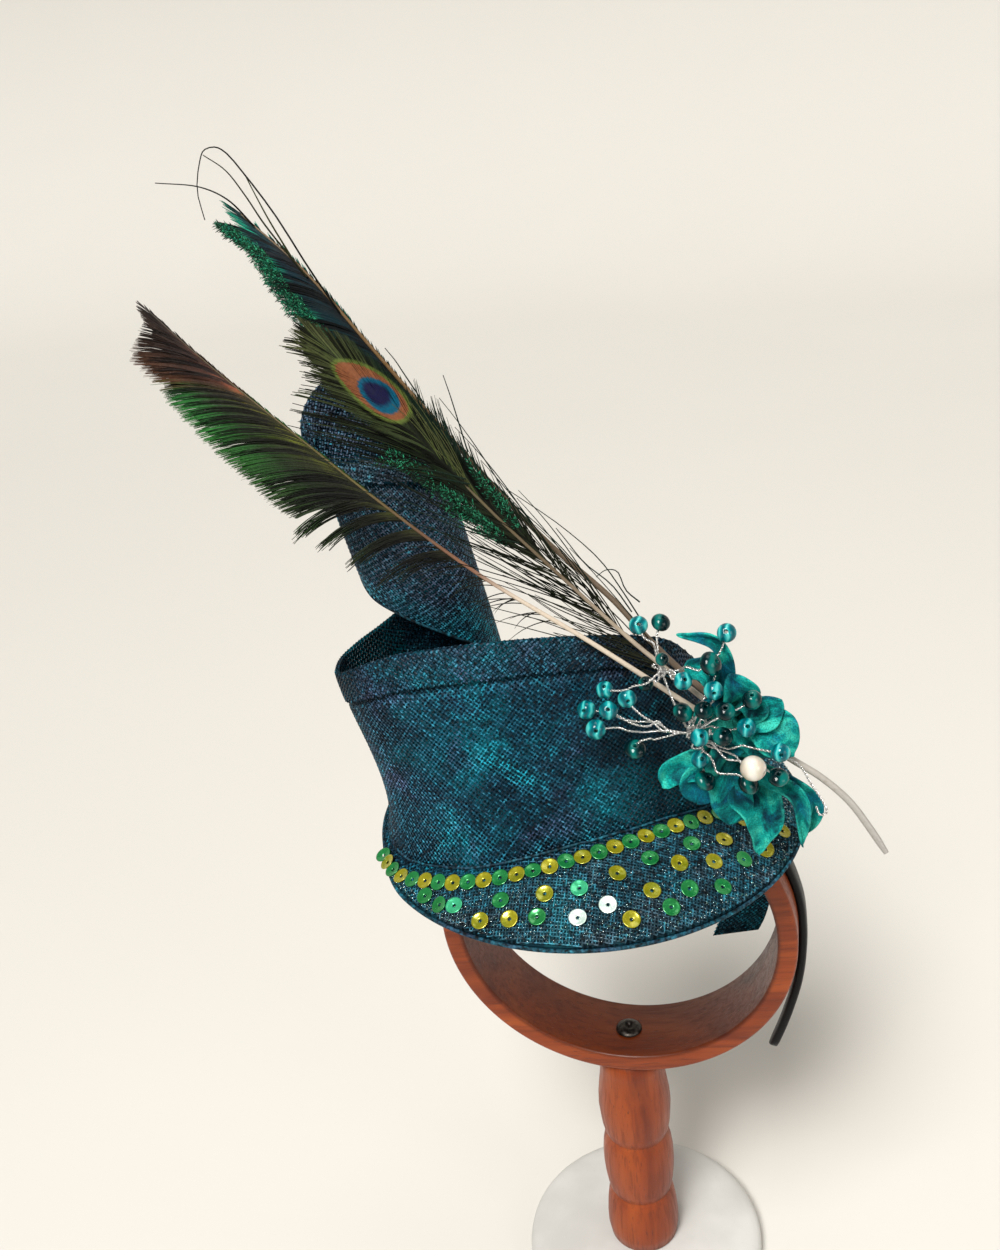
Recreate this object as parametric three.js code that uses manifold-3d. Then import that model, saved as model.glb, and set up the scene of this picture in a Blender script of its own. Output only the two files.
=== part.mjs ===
import * as THREE from 'three';
import { mergeVertices } from 'three/addons/utils/BufferGeometryUtils.js';
import Module from 'manifold-3d';

const wasm = await Module();
wasm.setup();

// All sizes are millimetres. The foot of the stand rests on z = 0, +Z is up and -Y is the front.
const FIT_GAP = 0.35;

// Stand
const FOOT_RADIUS = 61;
const FOOT_HEIGHT = 14.5;
const FOOT_SIDES = 32;
const FOOT_PROFILE = [
  { radius: 0, height: 0 },
  { radius: FOOT_RADIUS - 1.5, height: 0 },
  { radius: FOOT_RADIUS, height: 1.5 },
  { radius: FOOT_RADIUS, height: 8.5 },
  { radius: FOOT_RADIUS - 2, height: 11.5 },
  { radius: FOOT_RADIUS - 7, height: 13.4 },
  { radius: 22, height: FOOT_HEIGHT },
  { radius: 0, height: FOOT_HEIGHT },
];
const POST_SIDES = 16;
const POST_PROFILE = [
  { radius: 0, height: FOOT_HEIGHT + FIT_GAP },
  { radius: 17.4, height: FOOT_HEIGHT + FIT_GAP },
  { radius: 18.4, height: 22 },
  { radius: 17.8, height: 34 },
  { radius: 15.2, height: 47 },
  { radius: 17.2, height: 57 },
  { radius: 17.9, height: 68 },
  { radius: 17.2, height: 77 },
  { radius: 15.2, height: 86 },
  { radius: 17.2, height: 95 },
  { radius: 18.0, height: 105 },
  { radius: 17.2, height: 116 },
  { radius: 15.7, height: 128 },
  { radius: 15.7, height: 148 },
  { radius: 0, height: 148 },
];
const RING_CENTRE_HEIGHT = 223;
const RING_RADIUS = 81;
const RING_WALL = 9;
const RING_DEPTH = 36.4;
const RING_EDGE = 1.4;
const RING_SIDES = 40;
const SCREW_HEAD_RADIUS = 6.3;
const SCREW_SHANK_RADIUS = 2.8;
const SCREW_SEAT = RING_CENTRE_HEIGHT - RING_RADIUS + RING_WALL + 0.65;
const SCREW_SHANK_LENGTH = 6;

// Headband: its middle line over the ring, from the free right arm to the left arm, and its width there
const HEADBAND_THICKNESS = 2.6;
const HEADBAND_LINE = [
  { x: 69.3, z: 148.8, width: 6 },
  { x: 73.5, z: 161, width: 7 },
  { x: 77.2, z: 173.7, width: 7.5 },
  { x: 80.9, z: 189.5, width: 8 },
  { x: 82.8, z: 205.3, width: 9 },
  { x: 83.1, z: 222, width: 10 },
  { x: 81.0, z: 240.2, width: 11 },
  { x: 71.7, z: 264.5, width: 12 },
  { x: 53.2, z: 286.5, width: 13 },
  { x: 28.3, z: 300.8, width: 14 },
  { x: 0, z: 305.8, width: 14 },
  { x: -28.3, z: 300.8, width: 14 },
  { x: -53.2, z: 286.5, width: 13 },
  { x: -71.7, z: 264.5, width: 12 },
  { x: -81.0, z: 240.2, width: 11 },
  { x: -83.0, z: 222, width: 10 },
  { x: -81.4, z: 207, width: 9 },
  { x: -77.7, z: 194, width: 8 },
  { x: -71.6, z: 181, width: 7.5 },
  { x: -64.5, z: 170.6, width: 7 },
  { x: -55.8, z: 161.4, width: 6 },
];

// Sinamay dome: a cap cut from a sphere
const DOME_X = -10;
const DOME_Y = -6.2;
const DOME_RIM_RADIUS = 93.5;
const DOME_RIM_HEIGHT = 283;
const DOME_RISE = 27.4;
const DOME_WALL = 2.1;
const DOME_SIDES = 36;
const DOME_RINGS = 4;
const DOME_SPHERE = (DOME_RIM_RADIUS ** 2 + DOME_RISE ** 2) / (2 * DOME_RISE);
const DOME_CENTRE_HEIGHT = DOME_RIM_HEIGHT + DOME_RISE - DOME_SPHERE;

// Sequin band: upper edge of the net round the dome, by turn in degrees from +X and reach from its axis
const NET_THICKNESS = 1.0;
const NET_LIFT = 0.45;
const NET_COLUMNS = 36;
const NET_ROWS = 2;
const NET_EDGE = [
  { turn: -143.5, reach: 87.8 },
  { turn: -136.5, reach: 85 },
  { turn: -131, reach: 81.5 },
  { turn: -123, reach: 77.3 },
  { turn: -111, reach: 70 },
  { turn: -101, reach: 64.3 },
  { turn: -87, reach: 57.9 },
  { turn: -71.5, reach: 53.8 },
  { turn: -56.5, reach: 52.2 },
  { turn: -41, reach: 53.4 },
  { turn: -27.5, reach: 57.8 },
  { turn: -10, reach: 67 },
  { turn: 10, reach: 77 },
  { turn: 40, reach: 79 },
  { turn: 90, reach: 79 },
  { turn: 145, reach: 81 },
];
const SEQUIN_RADIUS = 3.4;
const SEQUIN_THICKNESS = 1.0;
const SEQUIN_SIDES = 8;
const SEQUIN_ROW_SPACING = 6.9;
const SEQUIN_ROW_BELOW_EDGE = 4.0;
const SEQUIN_ROW_TURNS = { from: -139, to: -22 };
const LOOSE_SEQUINS = [
  { turn: -127.3, reach: 89.6 },
  { turn: -121.6, reach: 89.6 },
  { turn: -117.4, reach: 87.6 },
  { turn: -108.4, reach: 89.4 },
  { turn: -105.1, reach: 80.6 },
  { turn: -100.9, reach: 86.4 },
  { turn: -93.7, reach: 84.3 },
  { turn: -92.8, reach: 75.6 },
  { turn: -82.5, reach: 73.1 },
  { turn: -83, reach: 84 },
  { turn: -74.7, reach: 80.1 },
  { turn: -70.1, reach: 68.7 },
  { turn: -69.4, reach: 86.5 },
  { turn: -57.7, reach: 65.8 },
  { turn: -61.6, reach: 78 },
  { turn: -58.5, reach: 85.6 },
  { turn: -49.6, reach: 71.6 },
  { turn: -51.4, reach: 81.7 },
  { turn: -41.2, reach: 67 },
  { turn: -39.6, reach: 77 },
  { turn: -42.8, reach: 86.2 },
  { turn: -30.6, reach: 72.7 },
  { turn: -31.3, reach: 82.6 },
  { turn: -23, reach: 85.5 },
  { turn: -18, reach: 72.6 },
  { turn: -12.6, reach: 87.1 },
];

// Swathe: one strip of sinamay, a row for each section from its right end round to the top of the curl
const SWATHE_WALL = 2.0;
const SWATHE_HEM_WALL = 3.0;
const SWATHE_COLUMNS = 48;
const SWATHE_LEVELS = [0, 0.25, 0.55, 0.845, 0.86, 1];
const SWATHE_HEM_FROM = 0.85;
const SWATHE_SECTIONS = [
  { foot: [62, 2, 291], top: [44, 8, 346], waist: 0 },
  { foot: [54, -16, 294], top: [39.5, -9, 360], waist: 0 },
  { foot: [44.1, -28.3, 297], top: [32, -25, 376], waist: 0 },
  { foot: [29.5, -40.4, 299], top: [20, -34.5, 382.6], waist: 1 },
  { foot: [12.6, -52.6, 299], top: [5, -40.6, 385.6], waist: 2 },
  { foot: [-14.2, -65, 296], top: [-20, -48, 387.6], waist: 2 },
  { foot: [-40.5, -70.7, 291], top: [-47, -50.4, 385.6], waist: 3 },
  { foot: [-62.6, -66.9, 286], top: [-74, -47, 379.4], waist: 4 },
  { foot: [-80.5, -56.5, 282.5], top: [-94.5, -38.4, 368.8], waist: 5 },
  { foot: [-94, -34, 282.5], top: [-107, -26, 360.4], waist: 6 },
  { foot: [-98, -8, 283], top: [-110, -12, 360], waist: 6 },
  { foot: [-93, 14, 284], top: [-106, 3, 361], waist: 5 },
  { foot: [-80, 29, 288], top: [-99.5, 17, 362.5], waist: 3 },
  { foot: [-66, 36, 298], top: [-88, 28, 370], waist: 1 },
  { foot: [-54, 34, 315], top: [-75, 33, 388], waist: 0 },
  { foot: [-46, 23, 336], top: [-65, 27, 417], waist: 0 },
  { foot: [-45, 6, 354], top: [-61, 11, 438], waist: -1 },
  { foot: [-50, -9, 366], top: [-66, -3, 447], waist: -2 },
  { foot: [-61, -18, 376], top: [-77, -10, 450], waist: -3 },
  { foot: [-76.5, -20.5, 385], top: [-89, -12, 449], waist: -3 },
  { foot: [-91, -15, 392], top: [-98.5, -9.5, 447], waist: -2 },
  { foot: [-98, -4, 402], top: [-112, -6, 459], waist: 0 },
  { foot: [-94, 8, 410], top: [-109.5, 0, 471], waist: 1 },
  { foot: [-84, 16, 416], top: [-98, 8, 479], waist: 1 },
  { foot: [-71, 17, 420], top: [-82, 12, 476], waist: 0 },
];

// Tail: a strip hanging behind the ring
const TAIL_Y = 26;
const TAIL_THICKNESS = 1.6;
const TAIL_TOP = { left: 46, right: 69 };
const TAIL_END = { left: [43, 187], right: [64, 196] };
const TAIL_WAVE = 2.5;

// Feathers: each shaft from its quill end to its tip
const VIEW_SIDE = new THREE.Vector3(0.237, -0.8705, 0.4315);
const BARB_THICKNESS = 1.1;
const SHAFT_SIDES = 6;
const SWORD_SHAFT = [
  [58.6, -49.2, 349.6],
  [45.7, -48, 357.9],
  [29, -46.5, 369.3],
  [4.3, -44.6, 386.3],
  [-35.7, -41.6, 412.4],
  [-69.4, -39.3, 439.6],
  [-98, -37.3, 465],
  [-130.3, -35.1, 494.3],
  [-156.8, -33.2, 521],
];
const SWORD_SHAFT_RADIUS = { quill: 1.4, tip: 0.7 };
const SWORD_LOCKS = { from: 0.56, to: 0.97, count: 10, reach: 21, tipReach: 6, sweep: 17, breadth: 15 };
const EYE_SHAFT = [
  [114.1, -63.2, 307.6],
  [95.2, -58.6, 326],
  [77.1, -54.2, 342.3],
  [55, -48.2, 356.9],
  [32.2, -42.4, 374.1],
  [19.4, -39.6, 384.6],
  [-4.7, -36.6, 408.5],
  [-26.2, -34.4, 430.5],
  [-48.4, -32.8, 456],
  [-70.5, -31.4, 481.9],
  [-92, -30, 504.5],
];
const EYE_SHAFT_RADIUS = { quill: 2.0, tip: 0.7 };
const EYE_LOCKS = { from: 0.66, to: 0.97, count: 6, reach: 13, tipReach: 7, sweep: 14, breadth: 13 };
const EYE_SPOT = { along: 0.885, length: 40, width: 30, sides: 16 };
const GREEN_SHAFT = [
  [52.7, -40.2, 357.2],
  [41.4, -37.4, 366.3],
  [26.3, -33.9, 381.1],
  [12.4, -29.2, 396],
  [-14, -24.6, 420.5],
  [-50, -20, 464],
  [-73.6, -17.2, 494.6],
  [-97, -14, 524.4],
  [-119, -11.6, 546],
];
const GREEN_SHAFT_RADIUS = { quill: 1.3, tip: 0.6 };
const GREEN_LOCKS = { from: 0.62, to: 0.97, count: 8, reach: 17, tipReach: 6, sweep: 13, breadth: 16 };

// Velvet flowers: root, middle and tip of each petal, its width and how deeply it is cupped
const PETAL_THICKNESS = 1.3;
const PETAL_COLUMNS = 4;
const PETAL_ROWS = 2;
const STALK_RADIUS = 1.3;
const UPPER_FLOWER = {
  core: [58, -47.4, 362.6],
  coreRadius: 4,
  stalkEnd: [38, -15, 357],
  petals: [
    { root: [57, -47, 365], middle: [51, -48, 387], tip: [38.5, -47, 391], width: 8, cup: 2 },
    { root: [56, -47, 365], middle: [48, -52, 377], tip: [39.5, -51.5, 381], width: 8, cup: 1.5 },
    { root: [60, -48, 362], middle: [62, -55, 371], tip: [60, -54, 381], width: 14, cup: 2 },
    { root: [61, -48, 361], middle: [70, -57, 364], tip: [76, -57, 371], width: 12, cup: 3 },
    { root: [61, -49, 361], middle: [73, -60, 357.5], tip: [80.5, -61, 346.5], width: 12, cup: 3 },
    { root: [59, -50, 361], middle: [62, -58, 356], tip: [64.5, -60, 348.5], width: 9, cup: 1 },
  ],
};
const LOWER_FLOWER = {
  core: [55, -47, 335],
  coreRadius: 4.5,
  stalkEnd: [49, -13, 328],
  petals: [
    { root: [53, -48, 336], middle: [40, -53, 340], tip: [32.5, -55, 334], width: 11, cup: 2 },
    { root: [53, -48, 334], middle: [46.5, -54, 332], tip: [45, -55, 323], width: 13, cup: 2 },
    { root: [56, -48, 334], middle: [58, -56, 328], tip: [57, -57, 316], width: 12, cup: 2.5 },
    { root: [58, -48, 333], middle: [69, -57, 321], tip: [69, -59, 304.5], width: 11, cup: 4 },
    { root: [58, -48, 335], middle: [81, -59, 329.5], tip: [85, -60, 304.5], width: 8, cup: 2 },
    { root: [58, -47, 337], middle: [87, -55, 325], tip: [86.5, -53, 309], width: 7, cup: 1.5 },
  ],
};

// Bead sprays: every bead with its place, half width and half height,
// the hub that its wire leaves and how far the wire bows to the back
const BEAD_SIDES = 10;
const BEAD_RINGS = 4;
const WIRE_RADIUS = 0.6;
const WIRE_SIDES = 5;
const WIRE_STEPS = 2;
const HUB_RADIUS = 1.9;
const HUBS = {
  main: [42.6, -57, 353.8],
  upper: [32.6, -52.4, 377.4],
};
const HUB_STEM_END = [36, -20, 346];
const BEADS = [
  { name: 'shell_bead_1', at: [24.1, -46, 393.5], half: [3.4, 3.4], hub: 'upper', bow: -3 },
  { name: 'shell_bead_2', at: [56.7, -50, 392.5], half: [3.4, 3.4], hub: 'main', bow: -3 },
  { name: 'shell_bead_3', at: [41, -58.2, 376.8], half: [3.3, 3.3], hub: 'upper', bow: -3 },
  { name: 'shell_bead_4', at: [11.1, -54.2, 370.4], half: [3.2, 3.2], hub: 'upper', bow: -8 },
  { name: 'shell_bead_5', at: [12.9, -60.2, 365], half: [3.4, 3.4], hub: 'main', bow: -3 },
  { name: 'shell_bead_6', at: [3.4, -54.2, 361.5], half: [3.5, 3.5], hub: 'main', bow: -3 },
  { name: 'shell_bead_7', at: [7.6, -60.2, 356.6], half: [3.7, 3.7], hub: 'main', bow: -3 },
  { name: 'shell_bead_8', at: [19.8, -57.2, 368.4], half: [3.4, 2.8], hub: 'main', bow: -3 },
  { name: 'shell_bead_9', at: [52.4, -63.6, 376], half: [3.4, 3.4], hub: 'main', bow: 6 },
  { name: 'shell_bead_10', at: [64, -66, 362.2], half: [3.4, 3.4], hub: 'main', bow: 4 },
  { name: 'shell_bead_11', at: [76, -70.2, 354.6], half: [3.3, 3.3], hub: 'main', bow: -3 },
  { name: 'shell_bead_12', at: [46.3, -61, 345.2], half: [3.3, 3.3], hub: 'main', bow: -3 },
  { name: 'shell_bead_13', at: [47, -67, 358.2], half: [3.3, 3.3], hub: 'main', bow: -3 },
  { name: 'glass_bead_1', at: [32.3, -45, 394.2], half: [3.2, 3.2], hub: 'upper', bow: -3 },
  { name: 'glass_bead_2', at: [33.4, -55, 384], half: [2.2, 2.8], hub: 'upper', bow: -3 },
  { name: 'glass_bead_3', at: [51.4, -60, 385], half: [4, 3.7], hub: 'upper', bow: -3 },
  { name: 'glass_bead_4', at: [66, -63.6, 372.4], half: [3.2, 4], hub: 'main', bow: -3 },
  { name: 'glass_bead_5', at: [41, -63.4, 366.6], half: [3.4, 3], hub: 'main', bow: -3 },
  { name: 'glass_bead_6', at: [48.6, -63, 367.4], half: [3.2, 3], hub: 'main', bow: -3 },
  { name: 'glass_bead_7', at: [56.6, -67, 369.4], half: [3.2, 3], hub: 'main', bow: -3 },
  { name: 'glass_bead_8', at: [55.4, -67, 358.8], half: [3.3, 3.3], hub: 'main', bow: -3 },
  { name: 'glass_bead_9', at: [22.2, -62.2, 349.6], half: [3.6, 2.8], hub: 'main', bow: -3 },
  { name: 'glass_bead_10', at: [48, -62, 336.4], half: [3.7, 3], hub: 'main', bow: 8 },
  { name: 'glass_bead_11', at: [64.1, -65, 337.4], half: [3.8, 3.4], hub: 'main', bow: -9 },
  { name: 'glass_bead_12', at: [75, -67.6, 342.4], half: [3.4, 2.6], hub: 'main', bow: -3 },
  { name: 'glass_bead_13', at: [26.4, -52.6, 372.4], half: [2.6, 2.6], hub: 'upper', bow: -3 },
  { name: 'pearl', at: [66.4, -74, 350], half: [4.7, 4.7], hub: 'main', bow: -3 },
];

const WOOD = { color: 0xa5622d, roughness: 0.45, metalness: 0 };
const FOOT_PAINT = { color: 0xd2d2ce, roughness: 0.5, metalness: 0 };
const STEEL = { color: 0x2a2624, roughness: 0.4, metalness: 0.8 };
const SATIN = { color: 0x0d0e12, roughness: 0.5, metalness: 0 };
const SINAMAY = { color: 0x12394a, roughness: 0.7, metalness: 0 };
const NET = { color: 0x2b7d4d, roughness: 0.35, metalness: 0.2 };
const SWORD = { color: 0x4a5a1e, roughness: 0.5, metalness: 0.1 };
const EYE = { color: 0x1f7a5a, roughness: 0.5, metalness: 0.1 };
const GREEN = { color: 0x0f6650, roughness: 0.5, metalness: 0.1 };
const VELVET = { color: 0x0a7f86, roughness: 0.85, metalness: 0 };
const SILVER = { color: 0xb8bcc0, roughness: 0.3, metalness: 1 };
const SHELL = { color: 0x57c2bd, roughness: 0.25, metalness: 0 };
const GLASS = { color: 0x0b4652, roughness: 0.12, metalness: 0 };
const PEARL = { color: 0xe6e0d2, roughness: 0.2, metalness: 0 };

const fascinator = new THREE.Group();
fascinator.name = 'fascinator';

function plain(geometry) {
  const bare = geometry.index ? geometry.clone() : geometry;
  bare.deleteAttribute('normal');
  bare.deleteAttribute('uv');
  return mergeVertices(bare, 1e-4);
}

function toBody(geometry) {
  const merged = plain(geometry);
  const vertProperties = new Float32Array(merged.attributes.position.array);
  const triVerts = new Uint32Array(merged.index.array);
  const mesh = new wasm.Mesh({ numProp: 3, vertProperties, triVerts });
  mesh.merge();
  return new wasm.Manifold(mesh);
}

function toGeometry(body) {
  const mesh = body.getMesh();
  const geometry = new THREE.BufferGeometry();
  geometry.setAttribute('position', new THREE.BufferAttribute(new Float32Array(mesh.vertProperties), 3));
  geometry.setIndex(new THREE.BufferAttribute(new Uint32Array(mesh.triVerts), 1));
  return geometry;
}

function fuse(bodies) {
  return bodies.reduce((sum, body) => sum.add(body));
}

function largest(body) {
  const pieces = body.decompose();
  return pieces.reduce((best, piece) => (piece.volume() > best.volume() ? piece : best));
}

function addPiece(name, geometry, look) {
  const mesh = new THREE.Mesh(plain(geometry), new THREE.MeshStandardMaterial(look));
  mesh.name = name;
  fascinator.add(mesh);
}

function point(list) {
  return new THREE.Vector3(...list);
}

function between(a, b, share) {
  return a + (b - a) * share;
}

// Turned round the z axis from a list of radii and heights
function turned(profile, sides) {
  const outline = profile.map((row) => new THREE.Vector2(row.radius, row.height));
  return new THREE.LatheGeometry(outline, sides).rotateX(Math.PI / 2);
}

// A thin box bent onto the surface place(along, across), both from 0 to 1
function sheet({ columns, rows, levels, thickness, place }) {
  const rowCount = levels ? levels.length - 1 : rows;
  const box = new THREE.BoxGeometry(1, 1, 1, columns, rowCount, 1);
  const positions = box.attributes.position;
  const step = 1e-3;
  for (let i = 0; i < positions.count; i += 1) {
    const along = positions.getX(i) + 0.5;
    const rowNumber = Math.round((positions.getY(i) + 0.5) * rowCount);
    const across = levels ? levels[rowNumber] : rowNumber / rowCount;
    const alongLow = Math.max(0, along - step);
    const alongHigh = Math.min(1, along + step);
    const acrossLow = Math.max(0, across - step);
    const acrossHigh = Math.min(1, across + step);
    const slopeAlong = place(alongHigh, across).sub(place(alongLow, across));
    const slopeAcross = place(along, acrossHigh).sub(place(along, acrossLow));
    const out = slopeAlong.cross(slopeAcross).normalize();
    const wall = thickness(along, across);
    const spot = place(along, across).addScaledVector(out, positions.getZ(i) * wall);
    positions.setXYZ(i, spot.x, spot.y, spot.z);
  }
  return box;
}

// A round rod along a curve, its radius changing evenly from start to end
function rod(curve, steps, sides, startRadius, endRadius) {
  const cylinder = new THREE.CylinderGeometry(1, 1, 1, sides, steps);
  const frames = curve.computeFrenetFrames(steps, false);
  const positions = cylinder.attributes.position;
  for (let i = 0; i < positions.count; i += 1) {
    const stepNumber = Math.round((positions.getY(i) + 0.5) * steps);
    const share = stepNumber / steps;
    const radius = between(startRadius, endRadius, share);
    const spot = curve.getPointAt(share);
    spot.addScaledVector(frames.normals[stepNumber], positions.getX(i) * radius);
    spot.addScaledVector(frames.binormals[stepNumber], -positions.getZ(i) * radius);
    positions.setXYZ(i, spot.x, spot.y, spot.z);
  }
  return cylinder;
}

function smoothRow(table, key) {
  const values = table.map((row) => row[key]);
  return (share) => {
    const place = share * (values.length - 1);
    const first = Math.min(values.length - 2, Math.floor(place));
    return between(values[first], values[first + 1], place - first);
  };
}

// Stand
addPiece('stand_base', turned(FOOT_PROFILE, FOOT_SIDES), FOOT_PAINT);

const ringHalf = RING_DEPTH / 2;
const ringInner = RING_RADIUS - RING_WALL;
const ringOutline = [
  [ringInner + RING_EDGE, -ringHalf],
  [RING_RADIUS - RING_EDGE, -ringHalf],
  [RING_RADIUS, -ringHalf + RING_EDGE],
  [RING_RADIUS, ringHalf - RING_EDGE],
  [RING_RADIUS - RING_EDGE, ringHalf],
  [ringInner + RING_EDGE, ringHalf],
  [ringInner, ringHalf - RING_EDGE],
  [ringInner, -ringHalf + RING_EDGE],
  [ringInner + RING_EDGE, -ringHalf],
].map(([radius, depth]) => new THREE.Vector2(radius, depth));
const ring = toBody(new THREE.LatheGeometry(ringOutline, RING_SIDES).translate(0, 0, RING_CENTRE_HEIGHT));
const screwHole = new THREE.CylinderGeometry(
  SCREW_SHANK_RADIUS + FIT_GAP, SCREW_SHANK_RADIUS + FIT_GAP, SCREW_SHANK_LENGTH + 2, 12,
).rotateX(Math.PI / 2).translate(0, 0, SCREW_SEAT - SCREW_SHANK_LENGTH / 2);
addPiece('stand_ring', toGeometry(ring.subtract(toBody(screwHole))), WOOD);

const ringKeepOut = new THREE.CylinderGeometry(
  RING_RADIUS + FIT_GAP, RING_RADIUS + FIT_GAP, 2 * RING_DEPTH, RING_SIDES,
).translate(0, 0, RING_CENTRE_HEIGHT);
const post = toBody(turned(POST_PROFILE, POST_SIDES)).subtract(toBody(ringKeepOut));
addPiece('stand_post', toGeometry(largest(post)), WOOD);

const screwProfile = [
  { radius: 0, height: SCREW_SEAT - SCREW_SHANK_LENGTH },
  { radius: SCREW_SHANK_RADIUS, height: SCREW_SEAT - SCREW_SHANK_LENGTH },
  { radius: SCREW_SHANK_RADIUS, height: SCREW_SEAT },
  { radius: SCREW_HEAD_RADIUS, height: SCREW_SEAT },
  { radius: SCREW_HEAD_RADIUS * 0.75, height: SCREW_SEAT + 1.9 },
  { radius: 0, height: SCREW_SEAT + 2.6 },
];
addPiece('stand_screw', turned(screwProfile, 12), STEEL);

// Headband
const headbandCurve = new THREE.CatmullRomCurve3(
  HEADBAND_LINE.map((row) => new THREE.Vector3(row.x, 0, row.z)),
);
const headbandWidth = smoothRow(HEADBAND_LINE, 'width');
const headband = sheet({
  columns: 32,
  rows: 2,
  thickness: (along, across) => HEADBAND_THICKNESS * (1 - 0.5 * Math.abs(2 * across - 1)),
  place: (along, across) => {
    const spot = headbandCurve.getPoint(along);
    const width = headbandWidth(along);
    return spot.add(new THREE.Vector3(0, (across - 0.5) * width, 0));
  },
});
addPiece('headband', headband, SATIN);

// Dome
function domePoint(turnDegrees, reach, lift) {
  const turn = THREE.MathUtils.degToRad(turnDegrees);
  const sphere = DOME_SPHERE + lift;
  const height = DOME_CENTRE_HEIGHT + Math.sqrt(sphere ** 2 - reach ** 2);
  return new THREE.Vector3(DOME_X + reach * Math.cos(turn), DOME_Y + reach * Math.sin(turn), height);
}

function domeArc(lift, rimReach) {
  const rows = [];
  for (let i = 0; i <= DOME_RINGS; i += 1) {
    const radius = rimReach * i / DOME_RINGS;
    rows.push({ radius, height: DOME_CENTRE_HEIGHT + Math.sqrt((DOME_SPHERE + lift) ** 2 - radius ** 2) });
  }
  return rows;
}

const domeProfile = [...domeArc(-DOME_WALL, DOME_RIM_RADIUS - 1), ...domeArc(0, DOME_RIM_RADIUS).reverse()];
addPiece('base_cap', turned(domeProfile, DOME_SIDES).translate(DOME_X, DOME_Y, 0), SINAMAY);

const domeKeepOutProfile = [
  { radius: 0, height: DOME_RIM_HEIGHT - 20 },
  { radius: DOME_RIM_RADIUS + 1, height: DOME_RIM_HEIGHT - 20 },
  ...domeArc(FIT_GAP, DOME_RIM_RADIUS + 1).reverse(),
];
const domeKeepOut = toBody(turned(domeKeepOutProfile, DOME_SIDES).translate(DOME_X, DOME_Y, 0));

// Swathe
const swatheFoot = new THREE.CatmullRomCurve3(SWATHE_SECTIONS.map((row) => point(row.foot)));
const swatheTop = new THREE.CatmullRomCurve3(SWATHE_SECTIONS.map((row) => point(row.top)));
const swatheWaist = smoothRow(SWATHE_SECTIONS, 'waist');

function swathePlace(along, across) {
  const foot = swatheFoot.getPoint(along);
  const top = swatheTop.getPoint(along);
  const heading = swatheFoot.getTangent(along).add(swatheTop.getTangent(along));
  const outward = new THREE.Vector3(-heading.y, heading.x, 0).normalize();
  const pinch = 6.75 * across * (1 - across) ** 2;
  return foot.lerp(top, across).addScaledVector(outward, -swatheWaist(along) * pinch);
}

function swatheBody(extraWall) {
  return toBody(sheet({
    columns: SWATHE_COLUMNS,
    levels: SWATHE_LEVELS,
    thickness: (along, across) => extraWall + (across > SWATHE_HEM_FROM ? SWATHE_HEM_WALL : SWATHE_WALL),
    place: swathePlace,
  }));
}

const swatheKeepOut = swatheBody(2 * FIT_GAP);
addPiece('swathe', toGeometry(largest(swatheBody(0).subtract(domeKeepOut))), SINAMAY);

// Sequin band
const netTurns = NET_EDGE.map((row) => row.turn);

function netEdge(turn) {
  let row = 0;
  while (row < NET_EDGE.length - 2 && netTurns[row + 1] < turn) {
    row += 1;
  }
  const share = (turn - netTurns[row]) / (netTurns[row + 1] - netTurns[row]);
  return between(NET_EDGE[row].reach, NET_EDGE[row + 1].reach, share);
}

const netFirst = netTurns[0];
const netLast = netTurns[netTurns.length - 1];
const net = toBody(sheet({
  columns: NET_COLUMNS,
  rows: NET_ROWS,
  thickness: () => NET_THICKNESS,
  place: (along, across) => {
    const turn = between(netFirst, netLast, along);
    const reach = between(DOME_RIM_RADIUS, netEdge(turn), across);
    return domePoint(turn, reach, NET_LIFT + NET_THICKNESS / 2);
  },
}));

function sequin(turn, reach) {
  const disc = new THREE.CylinderGeometry(SEQUIN_RADIUS, SEQUIN_RADIUS, SEQUIN_THICKNESS, SEQUIN_SIDES);
  const seat = domePoint(turn, reach, NET_LIFT + NET_THICKNESS);
  const out = seat.clone().sub(new THREE.Vector3(DOME_X, DOME_Y, DOME_CENTRE_HEIGHT)).normalize();
  disc.applyQuaternion(new THREE.Quaternion().setFromUnitVectors(new THREE.Vector3(0, 1, 0), out));
  disc.translate(seat.x, seat.y, seat.z);
  return toBody(disc);
}

const sequins = LOOSE_SEQUINS.map((row) => sequin(row.turn, row.reach));
let rowTurn = SEQUIN_ROW_TURNS.from;
while (rowTurn <= SEQUIN_ROW_TURNS.to) {
  const reach = netEdge(rowTurn) + SEQUIN_ROW_BELOW_EDGE;
  sequins.push(sequin(rowTurn, reach));
  const ahead = domePoint(rowTurn + 1, netEdge(rowTurn + 1) + SEQUIN_ROW_BELOW_EDGE, 0);
  rowTurn += SEQUIN_ROW_SPACING / ahead.distanceTo(domePoint(rowTurn, reach, 0));
}
const sequinBand = fuse([net, ...sequins]).subtract(swatheKeepOut);
addPiece('sequin_band', toGeometry(largest(sequinBand)), NET);

// Tail
const tail = sheet({
  columns: 6,
  rows: 2,
  thickness: () => TAIL_THICKNESS,
  place: (along, across) => {
    const topX = between(TAIL_TOP.left, TAIL_TOP.right, across);
    const reach = Math.hypot(topX - DOME_X, TAIL_Y - DOME_Y);
    const under = DOME_SPHERE - DOME_WALL - 1.2;
    const topZ = DOME_CENTRE_HEIGHT + Math.sqrt(under ** 2 - reach ** 2);
    const endX = between(TAIL_END.left[0], TAIL_END.right[0], across);
    const endZ = between(TAIL_END.left[1], TAIL_END.right[1], across);
    const wave = TAIL_WAVE * Math.sin(Math.PI * along) * (2 * across - 1);
    return new THREE.Vector3(between(topX, endX, along), TAIL_Y + wave, between(topZ, endZ, along));
  },
});
addPiece('tail', tail, SINAMAY);

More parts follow.
